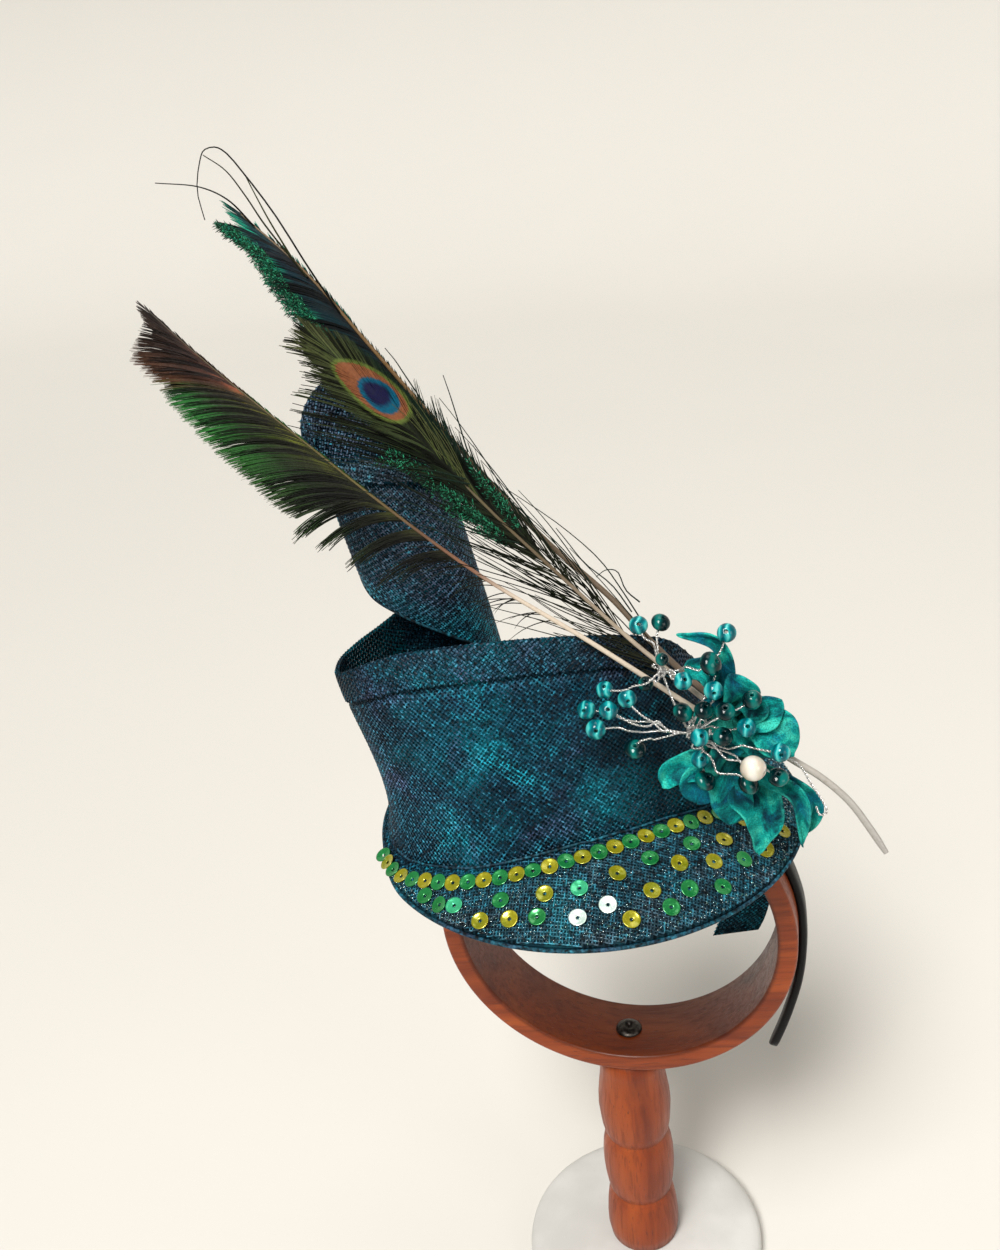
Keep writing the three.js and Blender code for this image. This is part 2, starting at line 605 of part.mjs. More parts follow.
// Feathers
function lock(curve, along, side, reach, sweep, breadth) {
  const heading = curve.getTangentAt(along);
  const across = heading.clone().cross(VIEW_SIDE).normalize().multiplyScalar(side);
  const root = curve.getPointAt(along);
  return toBody(sheet({
    columns: 2,
    rows: 1,
    thickness: () => BARB_THICKNESS,
    place: (out, wide) => {
      const spread = (wide - 0.5) * breadth * (1 - 0.55 * out);
      return root.clone()
        .addScaledVector(across, reach * out)
        .addScaledVector(heading, sweep * out ** 1.3 + spread);
    },
  }));
}

function vane(curve, locks, side) {
  const bodies = [];
  for (let i = 0; i < locks.count; i += 1) {
    const share = i / (locks.count - 1);
    const along = between(locks.from, locks.to, share);
    const reach = between(locks.reach, locks.tipReach, share ** 3);
    const room = (1 - along) * curve.getLength();
    bodies.push(lock(curve, along, side, reach, Math.min(locks.sweep, room), locks.breadth));
  }
  return bodies;
}

function shaftRod(curve, radius, steps) {
  return toBody(rod(curve, steps, SHAFT_SIDES, radius.quill, radius.tip));
}

const swordCurve = new THREE.CatmullRomCurve3(SWORD_SHAFT.map(point));
const sword = fuse([shaftRod(swordCurve, SWORD_SHAFT_RADIUS, 12), ...vane(swordCurve, SWORD_LOCKS, -1)]);
addPiece('sword_feather', toGeometry(sword), SWORD);

const eyeCurve = new THREE.CatmullRomCurve3(EYE_SHAFT.map(point));
const spotPlace = eyeCurve.getPointAt(EYE_SPOT.along);
const spotHeading = eyeCurve.getTangentAt(EYE_SPOT.along);
const spotSide = spotHeading.clone().cross(VIEW_SIDE).normalize();
const spotFace = spotSide.clone().cross(spotHeading).normalize();
const spot = new THREE.CylinderGeometry(1, 1, BARB_THICKNESS * 1.3, EYE_SPOT.sides)
  .scale(EYE_SPOT.width / 2, 1, EYE_SPOT.length / 2)
  .applyMatrix4(new THREE.Matrix4().makeBasis(spotSide, spotFace.clone().negate(), spotHeading))
  .translate(spotPlace.x, spotPlace.y, spotPlace.z);
const eye = fuse([
  shaftRod(eyeCurve, EYE_SHAFT_RADIUS, 14),
  ...vane(eyeCurve, EYE_LOCKS, -1),
  ...vane(eyeCurve, EYE_LOCKS, 1),
  toBody(spot),
]);
addPiece('eye_feather', toGeometry(eye), EYE);

const greenCurve = new THREE.CatmullRomCurve3(GREEN_SHAFT.map(point));
const green = fuse([shaftRod(greenCurve, GREEN_SHAFT_RADIUS, 12), ...vane(greenCurve, GREEN_LOCKS, -1)]);
addPiece('green_feather', toGeometry(green), GREEN);

// Flowers
function petal(row) {
  const curve = new THREE.CatmullRomCurve3([point(row.root), point(row.middle), point(row.tip)]);
  return toBody(sheet({
    columns: PETAL_COLUMNS,
    rows: PETAL_ROWS,
    thickness: () => PETAL_THICKNESS,
    place: (along, across) => {
      const heading = curve.getTangent(along);
      const side = heading.clone().cross(VIEW_SIDE).normalize();
      const face = side.clone().cross(heading).normalize();
      const fullness = 0.3 + 0.7 * Math.sin(Math.PI * along ** 0.8);
      const offset = 2 * across - 1;
      return curve.getPoint(along)
        .addScaledVector(side, offset * row.width / 2 * fullness)
        .addScaledVector(face, row.cup * offset ** 2 * fullness);
    },
  }));
}

function flower(table) {
  const core = new THREE.SphereGeometry(table.coreRadius, 8, 5).translate(...table.core);
  const stalkLine = new THREE.LineCurve3(point(table.core), point(table.stalkEnd));
  const stalk = toBody(rod(stalkLine, 1, WIRE_SIDES + 1, STALK_RADIUS, STALK_RADIUS));
  return largest(fuse([toBody(core), stalk, ...table.petals.map(petal)]).subtract(swatheKeepOut));
}

const upperFlower = flower(UPPER_FLOWER);
const lowerFlower = flower(LOWER_FLOWER);
addPiece('flower_upper', toGeometry(upperFlower), VELVET);
addPiece('flower_lower', toGeometry(lowerFlower), VELVET);

// Bead sprays
function bead(row, extra) {
  const [halfWidth, halfHeight] = row.half;
  return new THREE.SphereGeometry(1, BEAD_SIDES, BEAD_RINGS)
    .rotateX(Math.PI / 2)
    .scale(halfWidth + extra, halfWidth + extra, halfHeight + extra)
    .translate(...row.at);
}

function wire(from, to, bow, shortBy) {
  const middle = point(from).lerp(point(to), 0.55).add(new THREE.Vector3(0, bow, 0));
  const start = point(from).add(middle.clone().sub(point(from)).setLength(HUB_RADIUS * 0.6));
  const end = point(to).add(middle.clone().sub(point(to)).setLength(Math.max(shortBy, 0.01)));
  const curve = new THREE.QuadraticBezierCurve3(start, middle, end);
  return toBody(rod(curve, WIRE_STEPS, WIRE_SIDES, WIRE_RADIUS, WIRE_RADIUS));
}

const wires = BEADS.map((row) => wire(HUBS[row.hub], row.at, row.bow, Math.max(...row.half) + FIT_GAP));
wires.push(wire(HUBS.main, HUBS.upper, 1, 0));
wires.push(wire(HUBS.main, HUB_STEM_END, 0, 0));
wires.push(toBody(new THREE.SphereGeometry(HUB_RADIUS, 6, 4).translate(...HUBS.main)));
wires.push(toBody(new THREE.SphereGeometry(HUB_RADIUS, 6, 4).translate(...HUBS.upper)));
const spray = fuse(wires).subtract(swatheKeepOut);
addPiece('bead_wires', toGeometry(largest(spray)), SILVER);

BEADS.forEach((row) => {
  const look = row.name.startsWith('shell') ? SHELL : row.name.startsWith('glass') ? GLASS : PEARL;
  addPiece(row.name, bead(row, 0), look);
});

export default fascinator;
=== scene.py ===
import math

import bpy
import numpy as np
from mathutils import Matrix, Vector


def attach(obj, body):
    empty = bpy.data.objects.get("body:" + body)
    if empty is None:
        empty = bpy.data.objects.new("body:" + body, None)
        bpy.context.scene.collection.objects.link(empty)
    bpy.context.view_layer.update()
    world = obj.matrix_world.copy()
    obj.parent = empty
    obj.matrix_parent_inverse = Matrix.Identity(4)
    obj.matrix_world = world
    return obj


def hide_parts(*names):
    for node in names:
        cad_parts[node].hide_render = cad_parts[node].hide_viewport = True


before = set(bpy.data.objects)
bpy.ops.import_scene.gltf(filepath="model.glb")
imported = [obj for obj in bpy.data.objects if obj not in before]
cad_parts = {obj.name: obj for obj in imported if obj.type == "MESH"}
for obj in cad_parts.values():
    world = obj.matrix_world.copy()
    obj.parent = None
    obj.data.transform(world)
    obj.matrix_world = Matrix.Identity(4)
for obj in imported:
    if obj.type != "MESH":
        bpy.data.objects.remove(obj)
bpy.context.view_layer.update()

# Sizes are millimetres, in the frame of the part: foot of the stand on z = 0, +Z up, -Y the front.
MM = 0.001
SCENE = bpy.context.scene
PHOTO = (1000, 1250)
FOCAL_PIXELS = 1300
SENSOR = 36
CAMERA_PLACE = (88.62, -477.66, 607.42)
CAMERA_RIGHT = (0.9715, 0.2133, -0.1032)
CAMERA_UP = (-0.0022, 0.4436, 0.8962)
VIEW_SIDE = np.array((0.237, -0.8705, 0.4315))

# Stand: radius and height of the turned profiles
FOOT_PROFILE = (
    (0, 0), (57, 0), (59.6, 0.4), (60.7, 1.6), (61, 3), (61, 7.6), (60.4, 10), (58.6, 11.9),
    (55.4, 13.1), (50, 13.7), (36, 14.2), (24, 14.4), (22.8, 14.5), (0, 14.5))
POST_PROFILE = (
    (0, 14.9), (16.6, 14.9), (17.4, 15.6), (18.3, 22), (18.3, 28), (17.7, 36), (16.8, 42.6),
    (15.9, 45.4), (15.3, 46.7), (15.2, 47), (15.3, 47.3), (15.9, 48.6), (16.8, 53), (17.5, 59),
    (17.9, 66), (17.8, 73), (17.2, 79), (16.3, 83.4), (15.3, 85.6), (15.2, 86), (15.3, 86.4),
    (16.3, 88.8), (17.1, 93), (17.6, 99), (18, 105), (17.7, 112), (16.7, 120), (15.8, 127), (15.6, 132),
    (15.6, 141.6), (0, 141.6))
RING_CENTRE = (0, 0, 223)
RING_RADIUS = 81
RING_WALL = 9
RING_HALF_DEPTH = 18.2
RING_ROUNDING = 1.6
SCREW_SEAT = RING_CENTRE[2] - RING_RADIUS + RING_WALL + 0.35
SCREW_PROFILE = (
    (0, -5.5), (2.6, -5.5), (2.6, 0), (6.1, 0), (6.3, 0.3), (6.0, 0.9), (5.0, 1.7), (3.4, 2.3),
    (2.2, 2.5), (1.5, 1.2), (0, 0.7))

# Headband: x and z of its middle line, and its width
HEADBAND = np.array((
    (69.3, 148.8, 6), (73.5, 161, 7), (77.2, 173.7, 7.5), (80.9, 189.5, 8), (82.8, 205.3, 9),
    (83.1, 222, 10), (81.0, 240.2, 11), (71.7, 264.5, 12), (53.2, 286.5, 13), (28.3, 300.8, 14),
    (0, 305.8, 14), (-28.3, 300.8, 14), (-53.2, 286.5, 13), (-71.7, 264.5, 12), (-81.0, 240.2, 11),
    (-83.0, 222, 10), (-81.4, 207, 9), (-77.7, 194, 8), (-71.6, 181, 7.5), (-64.5, 170.6, 7),
    (-55.8, 161.4, 6)))
HEADBAND_THICKNESS = 4.2
HEADBAND_SHIFT = 0.5

# Dome, a part of a sphere, and its sequin band
DOME_X, DOME_Y = -10, -6.2
DOME_RIM = 93.5
DOME_RIM_HEIGHT = 283
DOME_RISE = 27.4
DOME_WALL = 1.7
DOME_SKIN = -0.3
DOME_PITCH = 1.65
DOME_SPHERE = (DOME_RIM ** 2 + DOME_RISE ** 2) / (2 * DOME_RISE)
DOME_CENTRE = np.array((DOME_X, DOME_Y, DOME_RIM_HEIGHT + DOME_RISE - DOME_SPHERE))

# Upper edge of the net: turn round the dome in degrees, reach from its middle
NET_EDGE = np.array((
    (-143.5, 87.8), (-136.5, 85), (-131, 81.5), (-123, 77.3), (-111, 70), (-101, 64.3), (-87, 57.9),
    (-71.5, 53.8), (-56.5, 52.2), (-41, 53.4), (-27.5, 57.8), (-10, 67), (10, 77), (40, 79), (90, 79),
    (145, 81)))
NET_LIFT = 0.9
NET_PITCH = 1.25
SPARKLES = 4200

# Sequins: turn, reach and tint of the loose ones, and the row along the net's edge
SEQUIN_LIFT = 1.75
SEQUIN_ROW = {"from": -139, "to": -22, "spacing": 6.9, "below_edge": 4.0}
# The palest tint is a painted glint: the sequins given it are painted pale silver-mint as if catching the
# light.
GREEN, YELLOW, MINT, PAINTED_GLINT_TINT = 0.1, 0.4, 0.65, 0.9
LOOSE_SEQUINS = (
    (-127.3, 89.6, GREEN), (-121.6, 89.6, GREEN), (-117.4, 87.6, MINT), (-108.4, 89.4, YELLOW),
    (-105.1, 80.6, GREEN), (-100.9, 86.4, YELLOW), (-93.7, 84.3, GREEN), (-92.8, 75.6, YELLOW),
    (-82.5, 73.1, MINT), (-83, 84, PAINTED_GLINT_TINT), (-74.7, 80.1, PAINTED_GLINT_TINT), (-70.1, 68.7, YELLOW),
    (-69.4, 86.5, YELLOW), (-57.7, 65.8, GREEN), (-61.6, 78, YELLOW), (-58.5, 85.6, GREEN),
    (-49.6, 71.6, YELLOW), (-51.4, 81.7, GREEN), (-41.2, 67, GREEN), (-39.6, 77, YELLOW),
    (-42.8, 86.2, GREEN), (-30.6, 72.7, YELLOW), (-31.3, 82.6, GREEN), (-23, 85.5, YELLOW),
    (-18, 72.6, YELLOW), (-12.6, 87.1, YELLOW), (-143.4, 91, GREEN), (-147.4, 91.3, YELLOW),
    (-151.2, 91.6, GREEN))

# Swathe: foot, top and waist of each section from the right end round to the top of the curl
SWATHE = np.array((
    (62, 2, 291, 44, 8, 346, 0), (54, -16, 294, 39.5, -9, 360, 0), (44.1, -28.3, 297, 32, -25, 376, 0),
    (29.5, -40.4, 299, 20, -34.5, 382.6, 1), (12.6, -52.6, 299, 5, -40.6, 385.6, 2),
    (-14.2, -65, 296, -20, -48, 387.6, 2), (-40.5, -70.7, 291, -47, -50.4, 385.6, 3),
    (-62.6, -66.9, 286, -74, -47, 379.4, 4), (-80.5, -56.5, 282.5, -94.5, -38.4, 368.8, 5),
    (-94, -34, 282.5, -107, -26, 360.4, 6), (-98, -8, 283, -110, -12, 360, 6),
    (-93, 14, 284, -106, 3, 361, 5), (-80, 29, 288, -99.5, 17, 362.5, 3),
    (-66, 36, 298, -88, 28, 370, 1), (-54, 34, 315, -75, 33, 388, 0), (-46, 23, 336, -65, 27, 417, 0),
    (-45, 6, 354, -61, 11, 438, -1), (-50, -9, 366, -66, -3, 447, -2),
    (-61, -18, 376, -77, -10, 450, -3), (-76.5, -20.5, 385, -89, -12, 449, -3),
    (-91, -15, 392, -98.5, -9.5, 447, -2), (-98, -4, 402, -112, -6, 459, 0),
    (-94, 8, 410, -109.5, 0, 471, 1), (-84, 16, 416, -98, 8, 479, 1), (-71, 17, 420, -82, 12, 476, 0)))
SWATHE_CUTS = (0, 0.27, 0.54, 0.77, 1)
HEM_FROM = 0.85
HEM_FOLD = 0.75
HEM_ROLL = math.pi * HEM_FOLD
STRAND_PITCH = 1.5
STRAND_HALF = 0.52
STRAND_FLATNESS = 0.42
STRAND_SWING = 0.25
CLOTH_THICKNESS = 0.25

# Tail: x of its two top corners, x and z of its two lower ones
TAIL_LONG, TAIL_WIDE = 100, 23
TAIL_Y = 26
TAIL_TOP = (47, 69)
TAIL_END = ((38.5, 188), (61, 193.5))
TAIL_WAVE = 2.5
TAIL_SWEEP = 6.0

# Feathers: places along each shaft from root to tip, and of the single strands
SWORD_SHAFT = (
    (58.6, -49.2, 349.6), (45.7, -48, 357.9), (29, -46.5, 369.3), (4.3, -44.6, 386.3),
    (-35.7, -41.6, 412.4), (-69.4, -39.3, 439.6), (-98, -37.3, 465), (-130.3, -35.1, 494.3),
    (-156.8, -33.2, 521))
EYE_SHAFT = (
    (113.9, -63.2, 307.6), (107.6, -60.1, 316.8), (100.3, -57.1, 326.1), (90.1, -55.0, 334.9),
    (78.2, -53.9, 342.6), (55, -48.2, 356.9), (32.2, -42.4, 374.1), (19.4, -39.6, 384.6),
    (-4.7, -36.6, 408.5), (-26.2, -34.4, 430.5), (-48.4, -32.8, 456), (-70.5, -31.4, 481.9),
    (-92, -30, 504.5))
GREEN_SHAFT = (
    (52.7, -40.2, 357.2), (41.4, -37.4, 366.3), (26.3, -33.9, 381.1), (12.4, -29.2, 396),
    (-14, -24.6, 420.5), (-50, -20, 464), (-73.6, -17.2, 494.6), (-97, -14, 524.4), (-119, -11.6, 546))
TIP_FILAMENTS = (
    ((-84.5, -17.0, 508.8), (-92.6, -19.1, 525.5), (-104.8, -13.6, 545.0), (-115.2, -10.2, 559.3),
     (-122.0, -8.8, 567.7), (-125.2, -9.5, 569.8), (-128.8, -11.6, 569.3), (-129.9, -14.2, 566.2),
     (-130.5, -20.0, 556.6), (-127.4, -25.0, 546.7)),
    ((-95.5, -16.0, 522.4), (-108.7, -15.3, 542.0), (-115.9, -12.0, 552.6), (-123.0, -9.5, 561.6),
     (-130.9, -8.8, 567.4)),
    ((-99.5, -14.8, 527.2), (-106.9, -14.4, 542.8), (-111.2, -11.8, 550.5), (-115.9, -8.7, 559.2)),
    ((-114.0, -13.2, 541.6), (-121.9, -14.1, 551.6), (-131.9, -14.2, 556.9), (-148.0, -17.1, 560.0)))
STRAY_BARBS = (
    ((-36.1, -36.5, 459.6), (-39.7, -32.0, 470.5), (-42.5, -28.6, 479.0), (-45.0, -25.9, 485.9)),
    ((-51.4, -32.2, 476.7), (-58.6, -28.9, 487.3), (-62.2, -27.2, 492.6), (-65.8, -26.0, 497.0)),
    ((24.2, -41.4, 394.2), (17.6, -38.5, 404.4), (9.6, -35.5, 415.5), (-4.9, -33.1, 428.8),
     (-24.8, -31.6, 443.5)),
    ((24.1, -38.8, 399.6), (19.0, -37.9, 404.2), (15.7, -35.5, 410.9), (11.7, -36.2, 411.7),
     (8.1, -38.1, 409.7)),
    ((21.2, -41.1, 396.6), (13.9, -38.0, 406.3), (4.0, -36.3, 414.6), (-3.0, -33.7, 423.0),
     (-6.7, -32.3, 427.4)),
    ((-38.2, -35.8, 448.9), (-47.6, -36.7, 452.2), (-57.4, -38.2, 454.6), (-74.7, -40.7, 459.1),
     (-91.7, -44.1, 461.6)),
    ((-36.8, -36.3, 447.1), (-47.6, -37.7, 450.2), (-62.1, -39.6, 454.4), (-80.1, -42.4, 458.7),
     (-90.2, -44.3, 460.4)),
    ((-20, -38.5, 424), (-38.2, -43.7, 432.9), (-47.6, -43.8, 437.9), (-57.4, -44.1, 442.6),
     (-75.4, -46.0, 448.9)),
    ((-20, -38.5, 424), (-36.0, -44.1, 431.0), (-45.8, -44.6, 435.4), (-54.8, -44.9, 439.7),
     (-63.9, -45.7, 443.0)))

# Edges of the vanes: share of the shaft, reach from it, and a barb's angle at its root and at its end
SWORD_EDGE = (
    (0.655, 23.5, 18, 66), (0.67, 24.9, 15, 62), (0.71, 24.5, 15, 60), (0.79, 23.6, 14, 58),
    (0.845, 20.9, 13, 56), (0.89, 19.4, 13, 54), (0.904, 18.0, 12, 52))
SWORD_BROWN_EDGE = (
    (0.902, 14.0, 11, 48), (0.922, 16.8, 11, 47), (0.938, 15.8, 10, 45), (0.958, 15.6, 9, 42),
    (0.968, 11, 8, 36), (0.974, 6, 7, 28))
SWORD_TIP_EDGE = ((0.955, 4.5, 7, 20), (0.98, 3.4, 6, 14), (1.0, 0.9, 4, 9))
EYE_LEFT_EDGE = (
    (0.76, 2.5, 8, 24), (0.82, 5, 9, 27), (0.86, 7.5, 11, 32), (0.90, 10.5, 11, 34),
    (0.935, 11.5, 11, 33), (0.97, 9.5, 10, 28), (1.0, 7, 8, 22), (1.02, 3.5, 6, 14), (1.028, 1, 4, 9))
EYE_RIGHT_EDGE = (
    (0.66, 5, 7, 15), (0.75, 7.5, 9, 17), (0.85, 9, 11, 19), (0.92, 8.5, 10, 17), (0.97, 6.5, 8, 14),
    (1.0, 4, 6, 11), (1.03, 1, 4, 8))
GREEN_EDGE = (
    (0.64, 13, 16, 44), (0.816, 14.4, 17, 50), (0.87, 14.5, 17, 50), (0.906, 13.8, 17, 48),
    (0.94, 10.8, 15, 42), (0.956, 9.8, 14, 38), (1.0, 10.8, 12, 34), (1.02, 9.0, 11, 30))
GREEN_TIP_EDGE = ((0.99, 4.0, 7, 20), (1.02, 3.0, 6, 14), (1.035, 0.8, 4, 8))

# Clumps of barbs: share of the shaft and reach of each clump's end, and its number of barbs
SWORD_CLUMPS = (
    (0.641, 29.0, 24), (0.634, 27.0, 14), (0.607, 26.8, 22), (0.596, 24.0, 8), (0.561, 26.4, 20),
    (0.552, 23.0, 8), (0.517, 24.8, 12), (0.497, 19.4, 8))
EYE_WISPS = (
    (1.02, 8.5, 9), (1.012, 10.8, 8), (0.985, 11.5, 5), (0.970, 13.6, 6), (0.965, 15.0, 5),
    (0.962, 20.6, 6), (0.958, 18.6, 4), (0.952, 25.6, 5), (0.94, 28.2, 3), (0.93, 21, 4),
    (0.915, 26.5, 4), (0.90, 20, 5), (0.885, 24, 4), (0.87, 18, 5), (0.85, 21, 4))
EYE_SHARE = 0.897

# Flowers: place and radius of the heart, and where its stalk ends
PETAL_THICKNESS = 0.9
UPPER_CORE = ((58, -47.4, 362.6), 4.0, (38, -15, 357))
LOWER_CORE = ((55, -47, 335), 4.5, (49, -13, 328))

# Petals: root, middle and tip, width, cup, and how far the petal comes to a point
UPPER_PETALS = (
    ((57, -47, 366), (52, -48, 387), (38, -47.5, 390.5), 4.4, 2.5, 0.3),
    ((56, -47, 366), (49, -52, 378), (41, -51.5, 378.5), 9, 1.5, 0),
    ((59, -48, 362), (60.5, -55, 370), (57.5, -55, 378), 12, 2.6, 0.2),
    ((61, -48, 361), (70, -57, 364), (76.5, -57, 368.5), 12, 3, 0.1),
    ((61, -49, 361), (73, -60, 357), (80.5, -61, 347.5), 14, 2.2, 0.1),
    ((59, -50, 361), (62, -58, 356), (64.5, -60, 348.5), 9, 1, 0),
    ((57, -47, 361), (50, -54, 359), (43.5, -55, 353), 12, 2, 0.2),
    ((58, -48, 359), (55, -56, 351), (51, -57, 343.5), 12, 2, 0),
    ((60, -48, 359), (67, -57, 353), (71, -58, 345), 12, 2, 0.1),
    ((59, -48, 363), (66, -58, 366), (67, -60, 360), 9, 2.2, 0.3))
LOWER_PETALS = (
    ((53, -48, 336), (38.5, -53, 336.5), (30.5, -55, 328.5), 10, 2, 0),
    ((53, -48, 334), (46, -54, 331), (43.5, -55, 321.5), 13, 2, 0),
    ((56, -48, 334), (57, -56, 328), (55.5, -57, 313.5), 15, 2.0, 0.15),
    ((61, -50, 329), (68.5, -58.5, 319), (66.5, -59, 302), 15, 5, 0.6),
    ((58, -48, 335), (80.5, -59, 329.5), (83.5, -60, 306.5), 5.2, 2.6, 0.2),
    ((58, -47, 337), (87, -55, 325), (85, -54, 307.5), 5, 2, 0.3),
    ((55, -48, 337), (56, -56, 344), (57, -58, 353), 14, 2, 0))

# Beads: place, half width and half height, the hub of its wire, and how far that wire bows
HUBS = {"main": (42.6, -57, 353.8), "upper": (32.6, -52.4, 377.4)}
STEM_END = (36, -20, 346)
SHELL_BEADS = (
    ((24.1, -46, 393.5), 3.4, 3.4, "upper", -3), ((56.7, -50, 392.5), 3.4, 3.4, "main", -3),
    ((41, -58.2, 376.8), 3.3, 3.3, "upper", -3), ((11.1, -54.2, 370.4), 3.2, 3.2, "upper", -8),
    ((12.9, -60.2, 365), 3.4, 3.4, "main", -3), ((3.4, -54.2, 361.5), 3.5, 3.5, "main", -3),
    ((7.6, -60.2, 356.6), 3.7, 3.7, "main", -3), ((19.8, -57.2, 368.4), 3.4, 2.8, "main", -3),
    ((52.4, -63.6, 376), 3.4, 3.4, "main", 6), ((64, -66, 362.2), 3.4, 3.4, "main", 4),
    ((76, -70.2, 354.6), 3.3, 3.3, "main", -3), ((46.3, -61, 345.2), 3.3, 3.3, "main", -3),
    ((47, -67, 358.2), 3.3, 3.3, "main", -3))
GLASS_BEADS = (
    ((32.3, -45, 394.2), 3.2, 3.2, "upper", -3), ((33.4, -55, 384), 2.2, 2.8, "upper", -3),
    ((51.4, -60, 385), 4, 3.7, "upper", -3), ((66, -63.6, 372.4), 3.2, 4, "main", -3),
    ((41, -63.4, 366.6), 3.4, 3, "main", -3), ((48.6, -63, 367.4), 3.2, 3, "main", -3),
    ((56.6, -67, 369.4), 3.2, 3, "main", -3), ((55.4, -67, 358.8), 3.3, 3.3, "main", -3),
    ((22.2, -62.2, 349.6), 3.6, 2.8, "main", -3), ((48, -62, 336.4), 3.7, 3, "main", 8),
    ((64.1, -65, 337.4), 3.8, 3.4, "main", -9), ((75, -67.6, 342.4), 3.4, 2.6, "main", -3),
    ((26.4, -52.6, 372.4), 2.6, 2.6, "upper", -3))
PEARL = ((66.4, -74, 350), 4.7, 4.7, "main", -3)
ALL_BEADS = (*SHELL_BEADS, *GLASS_BEADS, PEARL)
WIRE_SHARING = 20
WIRE_LOOP = (
    (60, -52, 352), (77.6, -58.7, 345.6), (82.6, -59.1, 342.1), (86.9, -61.3, 335.3),
    (90.5, -62.9, 330.0), (92.3, -64.5, 325.8), (89.8, -65.5, 325.1), (88.4, -64.4, 328.2))

# Colours, linear; in a ramp each row is place, red, green and blue
WOOD_BANDS = ((0.25, 0.125, 0.017, 0.003), (0.5, 0.245, 0.042, 0.006), (0.75, 0.335, 0.070, 0.011))
CLOTH_DYES = {"Deep": (0.002, 0.012, 0.024), "Middle": (0.005, 0.048, 0.080), "Bright": (0.004, 0.180, 0.240),
              "Haze": (0.036, 0.050, 0.106)}
BINDING_DYES = {**CLOTH_DYES, "Middle": (0.003, 0.028, 0.042), "Bright": (0.003, 0.045, 0.065)}
# The tail's dyes are painted lighter than the cloth's: painted light that makes up for the dome's shadow over
# the tail.
TAIL_DYES_WITH_PAINTED_LIGHT = {"Deep": (0.004, 0.040, 0.062), "Middle": (0.006, 0.110, 0.160), "Bright": (0.006, 0.22, 0.29),
             "Haze": (0.02, 0.08, 0.15)}
BAND_DYES = {"Deep": (0.004, 0.022, 0.034), "Middle": (0.009, 0.050, 0.075), "Bright": (0.014, 0.115, 0.150),
             "Haze": (0.045, 0.072, 0.095)}
SLATE = (0.044, 0.056, 0.078)
# Painted glint: a bright cyan laid on the strands' fibres as painted highlights.
PAINTED_GLINT = (0.04, 0.30, 0.42)
# The last row, pale silver-mint, is a painted glint for the sequins with the palest tint.
SEQUIN_COLOURS = ((0.0, 0.012, 0.23, 0.055), (0.25, 0.34, 0.31, 0.008), (0.55, 0.05, 0.50, 0.24),
                  (0.8, 0.72, 0.86, 0.80))
SPARKLE_COLOURS = ((0.0, 0.30, 0.55, 0.62), (0.5, 0.62, 0.70, 0.72), (1.0, 0.16, 0.46, 0.36))
SWORD_INNER = (
    (0.50, 0.012, 0.012, 0.005), (0.60, 0.026, 0.030, 0.006), (0.70, 0.095, 0.105, 0.009),
    (0.77, 0.100, 0.095, 0.010), (0.80, 0.110, 0.055, 0.014), (0.82, 0.150, 0.042, 0.019),
    (0.89, 0.085, 0.030, 0.016), (0.96, 0.026, 0.016, 0.011))
SWORD_OUTER = (
    (0.50, 0.010, 0.015, 0.005), (0.58, 0.013, 0.028, 0.007), (0.66, 0.014, 0.075, 0.012),
    (0.79, 0.013, 0.095, 0.018), (0.81, 0.055, 0.022, 0.011), (0.88, 0.024, 0.013, 0.009),
    (0.96, 0.014, 0.010, 0.008))
EYE_INNER = (
    (0.0, 0.014, 0.012, 0.007), (0.60, 0.008, 0.010, 0.004), (0.73, 0.006, 0.010, 0.004),
    (0.79, 0.014, 0.022, 0.006), (0.86, 0.028, 0.042, 0.010), (0.95, 0.034, 0.048, 0.012))
EYE_OUTER = (
    (0.0, 0.012, 0.010, 0.007), (0.60, 0.006, 0.012, 0.005), (0.73, 0.006, 0.011, 0.005),
    (0.79, 0.016, 0.022, 0.008), (0.86, 0.028, 0.036, 0.013), (0.95, 0.038, 0.044, 0.016))
GREEN_INNER = (
    (0.45, 0.020, 0.022, 0.007), (0.60, 0.016, 0.026, 0.007), (0.70, 0.002, 0.010, 0.012),
    (0.9, 0.002, 0.009, 0.014), (0.97, 0.003, 0.028, 0.030))
GREEN_OUTER = (
    (0.45, 0.018, 0.024, 0.008), (0.60, 0.014, 0.030, 0.008), (0.68, 0.002, 0.030, 0.022),
    (0.85, 0.003, 0.085, 0.055), (0.97, 0.006, 0.17, 0.11))
BARBULE_COLOURS = ((0.0, 0.001, 0.018, 0.008), (0.5, 0.003, 0.075, 0.034), (1.0, 0.03, 0.34, 0.17))
SWORD_QUILL = (
    (0.0, 0.52, 0.45, 0.36), (0.35, 0.50, 0.42, 0.33), (0.42, 0.19, 0.085, 0.045),
    (0.5, 0.11, 0.05, 0.022), (0.62, 0.09, 0.07, 0.014), (0.8, 0.07, 0.05, 0.012),
    (1.0, 0.02, 0.013, 0.010))
EYE_QUILL = (
    (0.0, 0.30, 0.285, 0.265), (0.22, 0.36, 0.335, 0.295), (0.42, 0.40, 0.33, 0.25),
    (0.56, 0.10, 0.07, 0.04), (0.8, 0.07, 0.06, 0.02), (1.0, 0.06, 0.05, 0.02))
GREEN_QUILL = (
    (0.0, 0.14, 0.10, 0.07), (0.4, 0.10, 0.07, 0.04), (0.7, 0.13, 0.07, 0.02), (1.0, 0.10, 0.06, 0.02))
VELVET_COLOURS = (
    (0.36, 0.0, 0.035, 0.055), (0.45, 0.0, 0.13, 0.135), (0.53, 0.001, 0.29, 0.255),
    (0.62, 0.035, 0.47, 0.37))
